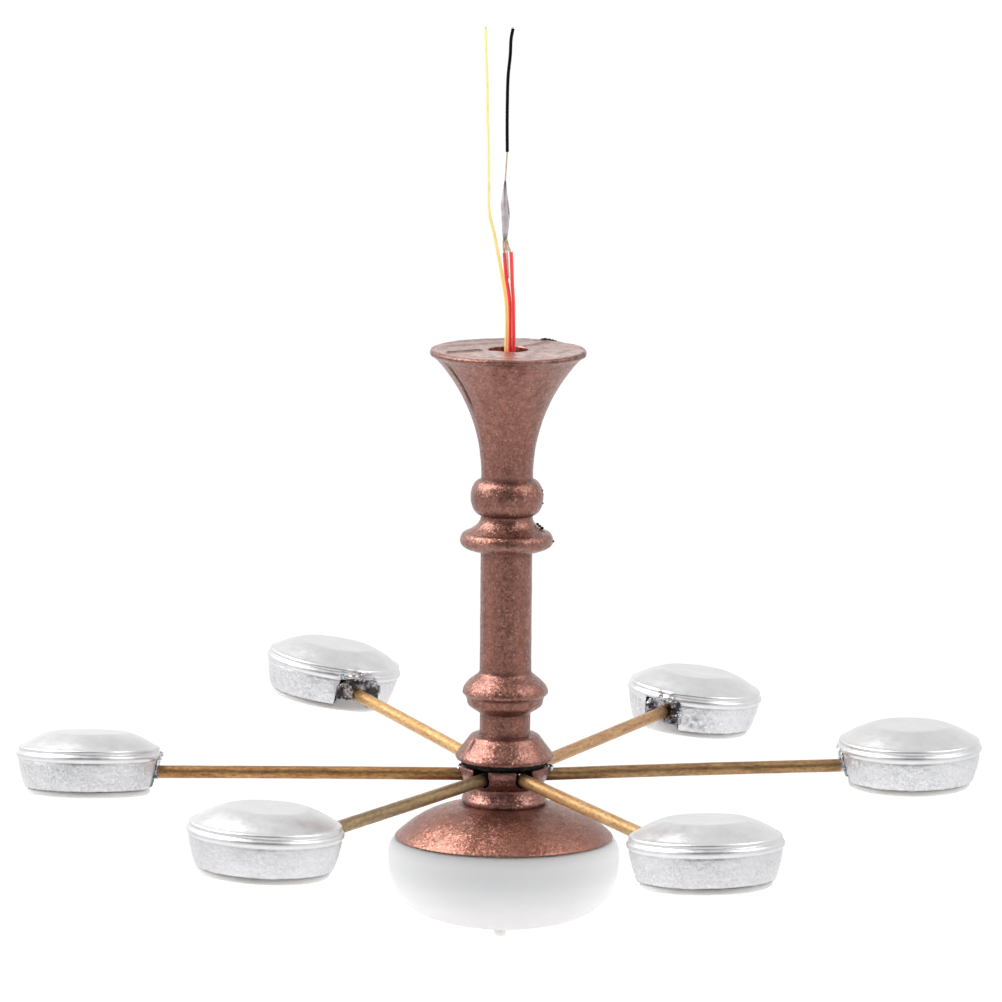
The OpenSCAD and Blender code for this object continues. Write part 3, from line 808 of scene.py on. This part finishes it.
def side_dirt_and_shade(radius, bearing, z, uneven):
    """Painted shade in the crevices of the column's side, and its chips and stains."""
    grime_and_shade = np.zeros(len(z))
    for level, width in CREVICE_SHADE:
        grime_and_shade = np.maximum(grime_and_shade, 0.45 * bump_shape(z - level, width))
    for angle, level, wide, tall, dark in SIDE_MARKS:
        across = radius * np.radians((bearing - angle + 180) % 360 - 180) / wide
        spot = bump_shape(np.hypot(across, (z - level) / tall) + 0.3 * uneven, 1.0)
        grime_and_shade = np.maximum(grime_and_shade, dark * np.clip(spot * 2, 0, 1))
    return grime_and_shade


def canopy_column():
    """The moulded column, its top face scraped pale, its bore stained and darkened deep down as painted
    shade, and shade painted into its crevices.
    """
    mesh = lathe("column", column_outline(), closed=True)
    points = points_of(mesh)
    radius = radii(points)
    bearing = np.degrees(np.arctan2(points[:, 1], points[:, 0]))
    z = points[:, 2]  # stays true as the points move
    on_top = (z > -0.03) & (radius > OUTLET_R)
    inside = (radius < OUTLET_R + 0.02) & (z < -0.03) & (z > COLUMN_Z + 0.01)
    outside = ~inside & ~on_top
    uneven = fractal(points, 0.45, 4, 1.0)

    lift, scrapes = scraped_top(points, uneven)
    seam, crack = parting_line(points, radius, bearing, uneven)
    push = 0.015 * seam - 0.14 * crack + 0.02 * fractal(points, 0.9, 3, 2.0)
    push += 0.05 * fractal(points, 0.7, 2, 13.0) * (z > RIM_FOOT)
    points += normals_of(mesh) * (push * outside)[:, None]
    points[:, 2] += lift * on_top + TOP_TILT * points[:, 1] / CANOPY_R * np.clip(1 + z / 0.6, 0, 1)
    set_points(mesh, points)

    rim = bump_shape(radius - CANOPY_R + 0.1 + 0.06 * uneven, 0.34) * (z > RIM_FOOT)
    grime_and_shade = np.maximum.reduce([
        scrapes * on_top,
        side_dirt_and_shade(radius, bearing, z, uneven) * outside,
        np.clip(1.3 * crack * outside, 0, 1),
        # painted shade deep in the bore
        0.85 * inside * (z < -1.4),
        0.3 * bump_shape(radius - OUTLET_R, 0.25) * on_top,
        0.55 * rim * np.clip(0.4 + 1.2 * fractal(points, 1.3, 3, 12.0), 0, 1),
    ])
    trail = bump_shape(points[:, 0] + 0.1 + 0.3 * uneven, 0.7) * (points[:, 1] < -1.2) * on_top
    edges = bump_shape(z - COLLAR_Z, 0.5) * (radius > COLLAR_R - 0.2)
    edges += bump_shape(z - LOWER_COLLAR_LIP - 0.1, 0.3)
    wear = np.where(on_top, (1.0 - 0.9 * rim) * (0.76 - 0.5 * points[:, 1] / CANOPY_R), 0.0)
    set_values(mesh, "stain", np.maximum(0.75 * trail, 0.9 * inside))
    set_values(mesh, "wear", np.maximum(wear, 0.15 * edges * outside))
    set_values(mesh, "grime_and_shade", grime_and_shade)
    settle(new_object("column", mesh, COPPER), "copper_paint", "canopy_column")


canopy_column()


# ---------------------------------------------------------------- hub

# How far the hub's foot is hollowed above its ring: height from the arms, depth
RING_HOLLOW = [(-2.1, 0), (-1.85, 0.06), (-1.65, 0.16), (-1.4, 0.16), (-1.1, 0.08), (-0.7, 0)]


def tube_line(i):
    """Where the arm's tube starts by the hub, the way it runs, and its length in mm."""
    points = unique_points(f"arm_tube_{i}")
    middle = points.mean(0)
    way = np.linalg.svd(points - middle, full_matrices=False)[2][0]
    way *= math.copysign(1, way @ (middle * (1, 1, 0)))
    along = (points - middle) @ way
    return middle + way * along.min(), way, along.max() - along.min()


def hub():
    """The cup, hollowed above its ring, with shade painted inside it, along its top under the skirt and
    round the tubes, and the black filling in it.
    """
    piece = cast_copy("hub", "hub_cup", COPPER_HUB_LIGHTENED, 0.07, 6)
    points = points_of(piece.data)
    radius = radii(points)
    rise = points[:, 2] - ARM_Z
    levels, hollows = zip(*RING_HOLLOW)
    pull = np.interp(rise, levels, hollows) * (radius > 2.6)
    points[:, :2] *= (1 - pull / np.maximum(radius, 1))[:, None]
    set_points(piece.data, points)
    roughen(piece.data, 0.02, 1.2, 5.0)
    points = points_of(piece.data)
    radius = radii(points)
    # Painted shade: inside the cup, along its top in the gap under the skirt, and round each tube where it
    # enters
    grime_and_shade = 0.9 * (radius < 2.75) * (rise > -1.2)
    grime_and_shade = np.maximum(grime_and_shade, 0.6 * bump_shape(rise - 0.8, 0.4))
    uneven = fractal(points, 0.8, 3, 11.0)
    for i in ARMS:
        start, way, _ = tube_line(i)
        off = np.linalg.norm(np.cross(points - start, way), axis=1) + 0.25 * uneven
        near = ((points - start) @ way) > -1.5
        grime_and_shade = np.maximum(grime_and_shade, 0.95 * near * np.clip(2 * bump_shape(off, 1.5), 0, 1))
    set_values(piece.data, "grime_and_shade", grime_and_shade)
    set_values(piece.data, "wear", np.zeros(len(points)))
    settle(piece, "copper_paint", "hub")

    # The filling's near-black, real epoxy, also stands for the shade in the gap under the skirt and in the
    # notches: partly painted shade
    filling = cast_copy("hub_potting", "hub_filling", FILLER, 0.07, 3)
    roughen(filling.data, 0.12, 1.1, 6.0)
    settle(filling, "dark_filler", "hub_potting")


hub()


# ---------------------------------------------------------------- cap and globe

HUB_FOOT = -2.5
CAP_LEAN = math.radians(2.5)
CAP_R = 8.95
CAP_RISE = 2.825
CAP_WALL = 0.6
CAP_LIP = -5.2
CAP_EDGE = 0.15
CAP_TOP_R = 3.3
CAP_SHAPE = 3.1  # the power of its flank's fall from the middle to the lip
BOSS_HOLE_R = 1.25
GLOBE_R = 9.45
GLOBE_DEPTH = 5.9
GLOBE_WALL = 0.6
GLOBE_MID = -6.5
GLOBE_SHAPE = 2.8
GLOBE_NECK = (7.9, 0.45)
GLOBE_SHELF_R = 8.7
NIB_R = 0.55
NIB_H = 1.4
NIB_FLARE = 0.16
NIB_SHIFT = -0.25
POLE_R = 1.4  # the globe's mesh is finer inside this radius, for the nib

UNDER_HUB = (
    Matrix.Translation((0, 0, (ARM_Z + HUB_FOOT) * MM))
    @ Matrix.Rotation(-CAP_LEAN, 4, "X")
    @ Matrix.Translation((0, 0, -HUB_FOOT * MM))
)


def dome_cap():
    """The cap over the globe: a flat seat, a flank that steepens to a sharp lip, and a domed inside."""
    inner_r, inner_rise = CAP_R - CAP_WALL, CAP_RISE - CAP_WALL + 0.1
    lip = CAP_LIP - CAP_EDGE
    flank = [
        (CAP_R * k, CAP_LIP + CAP_RISE * (1 - k**CAP_SHAPE))
        for k in np.linspace(CAP_TOP_R / CAP_R, 1, 40)
    ]
    under_z = lip + inner_rise * math.sin(math.radians(70))
    outer = (
        [(BOSS_HOLE_R, flank[0][1])] + flank
        + [(CAP_R - 0.02, lip), (inner_r, lip)]
        + elliptic(0, lip, inner_r, inner_rise, 0, 70, 20)
        + [(BOSS_HOLE_R, under_z)]
    )
    mesh = lathe("cap", softened(dense(outer, 0.16), 1), closed=True)
    roughen(mesh, 0.035, 0.35, 7.0)
    roughen(mesh, 0.012, 1.6, 8.0)
    points = points_of(mesh)
    radius, height = radii(points), points[:, 2]
    # Darker at the lip, partly the paint's dark edge and partly painted shadow, and painted contact shadow
    # round the seat under the hub
    edge = bump_shape(height - lip, 0.16) * (radius > inner_r + 0.05)
    root = bump_shape(radius - CAP_TOP_R - 0.1, 0.5) * (height > under_z)
    set_values(mesh, "grime_and_shade", np.maximum(0.75 * edge, 0.7 * root))
    set_values(mesh, "wear", np.zeros(len(points)))
    mesh.transform(UNDER_HUB)
    settle(new_object("cap", mesh, COPPER_CAP_LIGHTENED), "copper_paint", "dome_cap")


def squat(a, b, steps):
    """Lower quarter of the globe's outline, from its widest line to its pole."""
    angles = [math.pi / 2 * i / steps for i in range(steps + 1)]
    power = 2 / GLOBE_SHAPE
    return [(a * math.cos(t) ** power, GLOBE_MID - b * math.sin(t) ** power) for t in angles]


def globe():
    """The squat cup under the cap, with its rim inside the cap and a nib at its lowest point."""
    neck_r, neck_h = GLOBE_NECK
    shelf = CAP_LIP - CAP_EDGE
    top = [(neck_r - GLOBE_WALL, shelf + neck_h), (neck_r, shelf + neck_h), (neck_r, shelf)]
    shoulder = elliptic(
        GLOBE_SHELF_R, GLOBE_MID, GLOBE_R - GLOBE_SHELF_R, shelf - GLOBE_MID, 90, 0, 10
    )
    outer = dense(top + shoulder + squat(GLOBE_R, GLOBE_DEPTH, 80)[1:], 0.16)
    inner = dense(
        squat(GLOBE_R - GLOBE_WALL, GLOBE_DEPTH - GLOBE_WALL, 60)[::-1]
        + [(neck_r - GLOBE_WALL, shelf - GLOBE_WALL), (neck_r - GLOBE_WALL, shelf + neck_h)],
        0.4,
    )
    sides = [p for p in outer if p[0] > POLE_R]
    pole = dense([sides[-1], (0, GLOBE_MID - GLOBE_DEPTH)], 0.035)
    mesh = lathe("globe", sides + pole[1:] + inner[:-1], closed=True)
    points = points_of(mesh)
    off = np.hypot(points[:, 0] - NIB_SHIFT, points[:, 1])
    outside = points[:, 2] < GLOBE_MID - GLOBE_DEPTH + 0.3
    past = np.clip(off - NIB_R, 0, None)
    ball = np.sqrt(np.clip(NIB_R**2 - off**2, 0, None)) / NIB_R
    reach = NIB_FLARE * np.exp(-past / NIB_FLARE) + (NIB_H - NIB_FLARE) * ball**0.55
    points[:, 2] -= reach * bump_shape(past, 0.7) * outside
    set_points(mesh, points)
    roughen(mesh, 0.03, 0.16, 9.0, off > POLE_R + 0.2, 2)
    # Painted shade: the globe darkens towards its bottom, a little less at the nib
    deep = np.clip((GLOBE_MID - points_of(mesh)[:, 2]) / GLOBE_DEPTH, 0, 1)
    set_values(mesh, "grime_and_shade", 0.8 * bump_shape(1 - deep, 0.75) * (1 - 0.3 * bump_shape(off, 1.1)))
    mesh.transform(UNDER_HUB)
    settle(new_object("globe", mesh, GLOBE), "frosted_diffuser", "globe_diffuser")


dome_cap()
globe()


# ---------------------------------------------------------------- arms and lamp heads

TUBE_R = 0.52
TUBE_BORE_R = 0.33
HEAD_TOP_R = 3.25
HEAD_TOP_H = 1.75
SHOULDER = (5.6, 0.6)
FLANK_BULGE = 0.1
HEAD_R = 5.95
HEAD_WALL_H = 2.8
HEAD_FOOT_R = 5.25
HEAD_CAVITY_R = 4.6
HEAD_CAVITY_H = 0.6
NOTCH_W = 2.5
SPLASHED_NOTCH_W = 3.3
NOTCH_TOP = -0.2
NOTCH_SEED = 1  # without a seed, noise_vector differs from run to run
LENS_R = 5.0
LENS_DROP = 0.55
LENS_BOSS_H = 0.4
WELL_TOP = -1.95  # how high the lens wells up in the notch
HEAD_TWIST = {2: -4, 3: -3}  # degrees by which a head's notch sits off its tube
SPLASHED_HEADS = (2, 3)  # the heads with solder spilt over the rim above the notch
CAST = {5: 0.6, 6: 0.7}  # the heads whose casting skin is smoother than the rest
TOP_CAST = 0.16  # how much of that skin shows through the paint on the tops
LUMP_WIDTH = {2: 1.15, 3: 1.35}  # how far the splashed heads' solder is spread, beside the CAD model's
SCORCHED = {2: -3.0}  # where across the head its wall is blackened by the flux


def frame_matrix(origin, x, z):
    """A place in metres from an origin in mm, its X and Z directions."""
    y = np.cross(z, x)
    made = Matrix.Identity(4)
    for column, vector in enumerate((x, y, z)):
        for row in range(3):
            made[row][column] = vector[row]
    made.translation = Vector(origin) * MM
    return made


def head_place(i):
    """The lamp head's frame: origin in the plane of its rim, Z up its axis, X away from the hub."""
    board = unique_points(f"led_board_{i}")
    middle = board.mean(0)
    _, _, axes = np.linalg.svd(board - middle, full_matrices=False)
    up = axes[2] * math.copysign(1, axes[2][2])
    flat = (board - middle) @ axes[:2].T
    fit = np.linalg.lstsq(
        np.column_stack([2 * flat, np.ones(len(flat))]), (flat**2).sum(1), rcond=None
    )[0]
    centre = middle + fit[0] * axes[0] + fit[1] * axes[1]
    shell = unique_points(f"head_shell_{i}")
    top = ((shell - centre) @ up).max()
    origin = centre + up * (top - HEAD_TOP_H)
    way = tube_line(i)[1]
    out = way - up * (way @ up)
    twist = Matrix.Rotation(math.radians(HEAD_TWIST.get(i, 0)), 4, "Z")
    return frame_matrix(origin, out / np.linalg.norm(out), up) @ twist


def arm_tube(i):
    start, way, length = tube_line(i)
    outline = (
        dense([(TUBE_R - 0.03, 0), (TUBE_R, 0.03), (TUBE_R, length - 0.03),
               (TUBE_R - 0.03, length)], 0.3)
        + dense([(TUBE_BORE_R, length), (TUBE_BORE_R, 0)], 2)
    )
    mesh = lathe(f"tube_{i}", outline, closed=True, segments=48)
    roughen(mesh, 0.012, 0.5, 10.0 + i)
    points = points_of(mesh)
    sway = 0.035 * np.sin(math.pi * points[:, 2] / length)
    points[:, 0] += sway * math.cos(i)
    points[:, 1] += sway * math.sin(2 * i)
    set_points(mesh, points)
    out = np.hypot(start[0], start[1]) + points[:, 2] * np.hypot(way[0], way[1])
    patchy = np.clip(0.7 + fractal(points, 1.2, 3, 15.0 + i), 0, 1)
    # Painted shade on the tube towards the hub, where it runs into the cup
    set_values(mesh, "grime_and_shade", 0.7 * patchy * bump_shape(np.clip(out - 3.0, 0, None), 1.9))
    side = np.cross((0, 0, 1), way)
    place = frame_matrix(start, side / np.linalg.norm(side), way)
    tones = brass(f"brass_{i}", *TUBE_TONES[i])
    piece = new_object(f"tube_{i}", mesh, tones)
    piece.matrix_world = place
    settle(piece, "brass_tube", f"arm_tube_{i}")


def shell_outline():
    """The shell from the middle of its top down to its foot, and the cavity inside it."""
    shoulder_r, shoulder_h = SHOULDER
    start, end = (HEAD_TOP_R + 0.08, HEAD_TOP_H - 0.04), (shoulder_r - 0.05, shoulder_h + 0.03)
    flank = [
        (start[0] + (end[0] - start[0]) * t,
         start[1] + (end[1] - start[1]) * t + FLANK_BULGE * math.sin(math.pi * t))
        for t in (k / 8 for k in range(9))
    ]
    ridges = (
        [flank[-1]]
        + elliptic(shoulder_r - 0.04, 0.44, 0.2, 0.2, 80, -30, 12)
        + [(shoulder_r + 0.11, 0.26)]
        + elliptic(HEAD_R - 0.25, -0.08, 0.25, 0.3, 75, -60, 16)
        + [(HEAD_R - 0.17, -0.42)]
    )
    wall = (
        [ridges[-1]]
        + eased(HEAD_R - 0.17, -0.5, HEAD_FOOT_R, 0.1 - HEAD_WALL_H, 1.4, 10)
        + [(HEAD_FOOT_R - 0.08, -HEAD_WALL_H), (HEAD_CAVITY_R, -HEAD_WALL_H)]
    )
    top = dense([(0, HEAD_TOP_H), (HEAD_TOP_R - 0.1, HEAD_TOP_H)] + flank, 0.12)
    inner = [(HEAD_CAVITY_R, -HEAD_WALL_H), (HEAD_CAVITY_R, HEAD_CAVITY_H), (0, HEAD_CAVITY_H)]
    return top + dense(ridges, 0.055)[1:] + dense(wall, 0.12)[1:], dense(inner, 0.8)


def notch_cutter(width):
    """A box with rounded, uneven edges that opens the wall towards the hub."""
    edit = bmesh.new()
    bmesh.ops.create_cube(edit, size=1)
    low_z = -HEAD_WALL_H - 1
    size = Vector((HEAD_R + 1 - 4.2, width, NOTCH_TOP - low_z))
    middle = Vector((-(HEAD_R + 1 + 4.2) / 2, 0, (NOTCH_TOP + low_z) / 2))
    for vertex in edit.verts:
        vertex.co = vertex.co * size + middle
    bmesh.ops.bevel(edit, geom=edit.edges[:], offset=0.3, segments=3, profile=0.5, affect="EDGES")
    bmesh.ops.subdivide_edges(edit, edges=edit.edges[:], cuts=5, use_grid_fill=True)
    noise.seed_set(NOTCH_SEED)
    for vertex in edit.verts:
        vertex.co += 0.16 * noise.noise_vector(vertex.co * 0.9)
        vertex.co *= MM
    mesh = bpy.data.meshes.new("notch")
    edit.to_mesh(mesh)
    edit.free()
    cutter = bpy.data.objects.new("notch", mesh)
    bpy.context.scene.collection.objects.link(cutter)
    return cutter


def cut_shell(i, cutter):
    """The shell of one head in its own frame, uneven as cast, with its notch cut out."""
    outer, inner = shell_outline()
    mesh = lathe(f"shell_{i}", softened(outer, 2) + inner[1:])
    points = points_of(mesh)
    radius, height = radii(points), points[:, 2]
    wall = np.clip((-0.44 - height) / 0.12, 0, 1) * (radius > HEAD_FOOT_R - 0.3)
    skin = (radius > HEAD_CAVITY_R + 0.1) | (height > HEAD_CAVITY_H + 0.2)
    push = 0.035 * fractal(points, 0.22, 2, i) + 0.03 * wall * fractal(points, 1.3, 3, i + 20.0)
    points += normals_of(mesh) * (push * skin)[:, None]
    set_points(mesh, points)
    piece = new_object(f"shell_{i}", mesh, SILVER)
    cut = piece.modifiers.new("notch", "BOOLEAN")
    cut.operation, cut.solver, cut.object = "DIFFERENCE", "EXACT", cutter
    applied(piece)
    finish_mesh(piece.data, 50)
    return piece


def shell_darkening(i, points, radius, height):
    """Darker round the foot and under the rim, soiled beside the notch, and scorched paint on one wall."""
    patchy = np.clip(0.5 + fractal(points, 1.4, 3, i + 40.0), 0, 1)
    foot = bump_shape(height + HEAD_WALL_H, 0.16) * (radius > HEAD_FOOT_R - 0.25)
    beside_notch = bump_shape(np.hypot(points[:, 0] + 5.6, points[:, 1]) - 1.4, 0.35)
    grime_and_shade = np.maximum.reduce([
        foot * (0.5 + 0.5 * patchy),
        0.2 * bump_shape(height + 0.46, 0.1) * patchy,
        0.5 * beside_notch * (height < -0.1) * patchy,
    ])
    if i in SCORCHED:
        scorch = np.hypot((points[:, 1] - SCORCHED[i]) / 1.5, (height + 1.9) / 1.1)
        fine = np.clip(0.35 + 1.6 * fractal(points, 2.2, 3, i + 90.0), 0, 1)
        scorch = bump_shape(scorch, 1.0) * fine * (points[:, 0] < 0) * (height < -0.45)
        grime_and_shade = np.maximum(grime_and_shade, 0.75 * scorch)
    return grime_and_shade


def head_shell(i, place, cutter):
    piece = cut_shell(i, cutter)
    points = points_of(piece.data)
    radius, height = radii(points), points[:, 2]
    crust = np.zeros(len(points))
    if i in SPLASHED_HEADS:
        off_notch = np.hypot(points[:, 1] / 2.2, (height - 0.15) / 0.75)
        ragged = np.clip(0.2 + 1.8 * fractal(points, 1.1, 3, i + 70.0), 0, 1)
        crust = bump_shape(off_notch, 1.0) * ragged * (points[:, 0] < -4.6)
        set_points(piece.data, points + normals_of(piece.data) * (0.1 * crust)[:, None])
    cast = CAST.get(i, 1.0) * np.clip((-0.42 - height) / 0.15, 0, 1)
    set_values(piece.data, "cast", np.maximum.reduce([cast, crust, np.full(len(points), TOP_CAST)]))
    set_values(piece.data, "grime_and_shade", np.maximum(shell_darkening(i, points, radius, height), 0.8 * crust))
    piece.data.transform(place)
    settle(piece, "silver_paint", f"head_shell_{i}")


def lens(i, place):
    foot = -HEAD_WALL_H - LENS_DROP
    outline = (
        [(0, LENS_BOSS_H - HEAD_WALL_H), (HEAD_CAVITY_R - 0.03, LENS_BOSS_H - HEAD_WALL_H),
         (HEAD_CAVITY_R - 0.03, -HEAD_WALL_H), (LENS_R, -HEAD_WALL_H)]
        + elliptic(LENS_R - 0.25, foot + 0.3, 0.25, 0.25, 0, -75, 8)
        + [(LENS_R - 0.9, foot + 0.02), (0, foot)]
    )
    mesh = lathe(f"puck_{i}", softened(dense(outline, 0.16), 1), segments=128)
    points = points_of(mesh)
    across = 1.1 if i in SPLASHED_HEADS else 0.8
    notch = bump_shape(np.clip(np.abs(points[:, 1]) - across, 0, None), 0.5)
    raised = (points[:, 0] < -4.4) & (points[:, 2] > -HEAD_WALL_H - 0.05)
    points[:, 2] += np.clip(WELL_TOP - points[:, 2], 0, None) * notch * raised
    set_points(mesh, points)
    roughen(mesh, 0.02, 0.3, 30.0 + i, 1.0, 2)
    mesh.transform(place)
    settle(new_object(f"puck_{i}", mesh, SHADED_LENS), "frosted_diffuser", f"lens_{i}")


def solder_lump(i, place):
    """The solder around the end of the tube, squeezed into the narrower notches."""
    spilt = i in SPLASHED_HEADS
    piece = cast_copy(f"arm_joint_{i}", f"lump_{i}", SOLDER if spilt else SOLDER_LIT_COPY, 0.05, 4)
    stretch = Matrix.Diagonal((1, LUMP_WIDTH[i], 1, 1) if spilt else (1, 0.7, 0.9, 1))
    piece.data.transform(place @ stretch @ place.inverted())
    roughen(piece.data, 0.22 if spilt else 0.1, 0.8, 50.0 + i)
    roughen(piece.data, 0.035, 2.0, 60.0 + i)
    settle(piece, "solder", f"arm_joint_{i}")


def arms_and_heads():
    plain, splashed = notch_cutter(NOTCH_W), notch_cutter(SPLASHED_NOTCH_W)
    for i in ARMS:
        place = head_place(i)
        arm_tube(i)
        head_shell(i, place, splashed if i in SPLASHED_HEADS else plain)
        lens(i, place)
        solder_lump(i, place)
    for cutter in (plain, splashed):
        bpy.data.objects.remove(cutter)


arms_and_heads()


# ---------------------------------------------------------------- solder spatter and burrs

# Solder left on the hub's rim beside the arms: bearing, radius, height from the arms and size
HUB_BEADS = [
    (-8, 3.78, 0.5, 0.24), (9, 3.75, 0.55, 0.2), (-2, 3.85, 0.65, 0.16), (-12, 3.6, 0.75, 0.13),
    (172, 3.7, 0.55, 0.16), (186, 3.75, 0.45, 0.13), (-110, 3.45, 0.62, 0.12),
    (-70, 3.5, 0.6, 0.13), (61, 3.6, 0.6, 0.16), (118, 3.6, 0.6, 0.15),
]
# Dark crumbs of casting flash on the column's edges: place and size
CRUMBS = [
    ((2.75, 5.25, 0.12), 0.19), ((3.0, 5.13, 0.14), 0.23), ((3.3, 4.95, 0.14), 0.23),
    ((3.6, 4.77, 0.1), 0.2), ((3.85, 4.57, 0.08), 0.16),
    ((2.5, -0.4, -14.2), 0.12), ((2.66, -0.4, -14.34), 0.12), ((2.86, -0.4, -14.52), 0.14),
    ((2.82, -0.3, -11.45), 0.12), ((2.87, -0.3, -11.8), 0.1), ((2.84, -0.3, -12.5), 0.12),
    ((3.72, -0.4, -15.6), 0.13), ((6.2, -0.6, -0.2), 0.13),
]
# Solder thrown up above a head's notch: how many beads, how far to each side and how high
SPLASHES = {1: (8, 1.0, 0.1), 2: (10, 1.6, 0.3), 3: (24, 1.9, 0.6), 4: (8, 1.0, 0.1)}
# The lip that curls round the side of a notch: place across the head, height and size
LIP_X = -5.5
LIPS = {
    2: [(-1.62, -0.5, 0.24), (-1.76, -0.75, 0.24), (-1.84, -1.0, 0.24), (-1.86, -1.25, 0.23),
        (-1.8, -1.5, 0.23), (-1.66, -1.75, 0.22)],
}


def beads(name, spots, material, slot_name="solder"):
    """Uneven little beads in one piece, from their centres and sizes."""
    edit = bmesh.new()
    for centre, size in spots:
        at = Vector(centre) * MM
        made = bmesh.ops.create_icosphere(
            edit, subdivisions=3, radius=size * MM, matrix=Matrix.Translation(at)
        )
        for vertex in made["verts"]:
            away = vertex.co - at
            wave = noise.noise(vertex.co / MM * 2.6)
            vertex.co = at + Vector((away.x, away.y, away.z * 0.75)) * (1 + 0.5 * wave)
    mesh = bpy.data.meshes.new(name)
    edit.to_mesh(mesh)
    edit.free()
    finish_mesh(mesh, 80)
    settle(new_object(name, mesh, material), slot_name)


def hub_spatter():
    placed = [
        ((radius * math.cos(math.radians(turn)), radius * math.sin(math.radians(turn)),
          ARM_Z + rise), size)
        for turn, radius, rise, size in HUB_BEADS
    ]
    beads("spatter", placed, SOLDER_LIT_COPY)


def head_spatter(i, count, width, top):
    """Solder thrown up on the rim above a head's notch."""
    rng = np.random.default_rng(i)
    place = head_place(i)
    placed = []
    for _ in range(count):
        side, rise, size = rng.uniform(-width, width), rng.uniform(-0.35, top), rng.uniform(0.07, 0.2)
        radius = HEAD_R - (0.33 if rise > 0.24 else 0.07 if rise > -0.3 else 0.3)
        out = Vector((-math.sqrt(radius**2 - side**2), side, rise)) * MM
        placed.append(((place @ out) / MM, size))
    for side, rise, size in LIPS.get(i, ()):
        placed.append(((place @ (Vector((LIP_X, side, rise)) * MM)) / MM, size))
    beads(f"spatter_{i}", placed, SOLDER_LIT_COPY)


hub_spatter()
beads("burrs", CRUMBS, FILLER, "dark_filler")
for arm, splash in SPLASHES.items():
    head_spatter(arm, *splash)


# ---------------------------------------------------------------- CAD nodes that keep their shape

def repaint(node, material):
    NODES[node].data.materials.clear()
    NODES[node].data.materials.append(material)


repaint("wire_junction", SOLDER)
repaint("centre_led_board", BOARD)
repaint("centre_led_chip", PHOSPHOR)
repaint("centre_leads", ENAMEL)
for arm in ARMS:
    repaint(f"arm_leads_{arm}", ENAMEL)
    repaint(f"led_board_{arm}", BOARD)
    repaint(f"led_chip_{arm}", PHOSPHOR)


# ---------------------------------------------------------------- floor, light and surroundings

FLOOR_DROP = 0.42
FLOOR_HALF = 40
SOFTBOX_DISTANCE = 0.6
OPENING_WAY = Vector((0, -1, 0.3))
MIDDLE = Vector((0, 0, ARM_Z * MM * 0.7))


def floor():
    """A plain pale floor well below the hanging light."""
    z = GLOBE_FOOT * MM - FLOOR_DROP
    half = FLOOR_HALF
    mesh = bpy.data.meshes.new("floor")
    mesh.from_pydata([(-half, -half, z), (half, -half, z), (half, half, z), (-half, half, z)], [],
                     [(0, 1, 2, 3)])
    paint = Paint("floor", Roughness=0.9, Specular_IOR_Level=0.1, Emission_Color=(1, 1, 1),
                  Emission_Strength=0.2)
    paint.set("Base Color", (0.97, 0.97, 0.97))
    new_object("floor", mesh, paint.material)


def softbox(name, azimuth, elevation, size, radiance):
    """A square soft light aimed at the middle of the object. Azimuth 0 is the camera's side."""
    a, e = math.radians(azimuth), math.radians(elevation)
    way = Vector((math.sin(a) * math.cos(e), -math.cos(a) * math.cos(e), math.sin(e)))
    data = bpy.data.lights.new(name, "AREA")
    data.shape = "SQUARE"
    data.size = size
    data.energy = radiance * math.pi * size**2
    light = bpy.data.objects.new(name, data)
    bpy.context.scene.collection.objects.link(light)
    light.location = MIDDLE + way * SOFTBOX_DISTANCE
    light.rotation_mode = "QUATERNION"
    light.rotation_quaternion = way.to_track_quat("Z", "Y")
    light.visible_camera = False
    shaded = bpy.data.collections.new(f"{name}_shaded")
    shaded.objects.link(bpy.data.objects["globe"])
    light.light_linking.receiver_collection = shaded
    shaded.collection_objects[0].light_linking.link_state = "EXCLUDE"


def surroundings():
    """A white tent, dimmer overhead, with the dark opening that the photographer stands in."""
    world = bpy.data.worlds.new("tent")
    bpy.context.scene.world = world
    nodes = Nodes(world)
    place = nodes.add("ShaderNodeTexCoord").outputs["Generated"]
    opening = nodes.add(
        "ShaderNodeVectorMath", {0: place, 1: OPENING_WAY.normalized()}, operation="DOT_PRODUCT"
    )
    dark = nodes.levels(
        opening.outputs["Value"], 0.62, 0.93, 1.0, 0.12, interpolation_type="SMOOTHSTEP"
    )
    up = nodes.add("ShaderNodeSeparateXYZ", {0: place}).outputs["Z"]
    tent = nodes.times(dark, nodes.levels(up, 0.1, 0.9, 1.16, 0.88))
    # What shows behind the object from any side is plain white
    seen = nodes.add("ShaderNodeLightPath").outputs["Is Camera Ray"]
    shown = nodes.add("ShaderNodeMix", {0: seen, 2: tent, 3: 1.05}).outputs[0]
    background = nodes.tree.nodes["Background"]
    nodes.feed(background.inputs["Color"], (1, 1, 1))
    nodes.feed(background.inputs["Strength"], shown)


floor()
softbox("softbox_left", -95, 46, 0.48, 7.4)
softbox("softbox_right", 75, 42, 0.36, 3.7)
surroundings()
bpy.context.scene.view_settings.view_transform = "Standard"
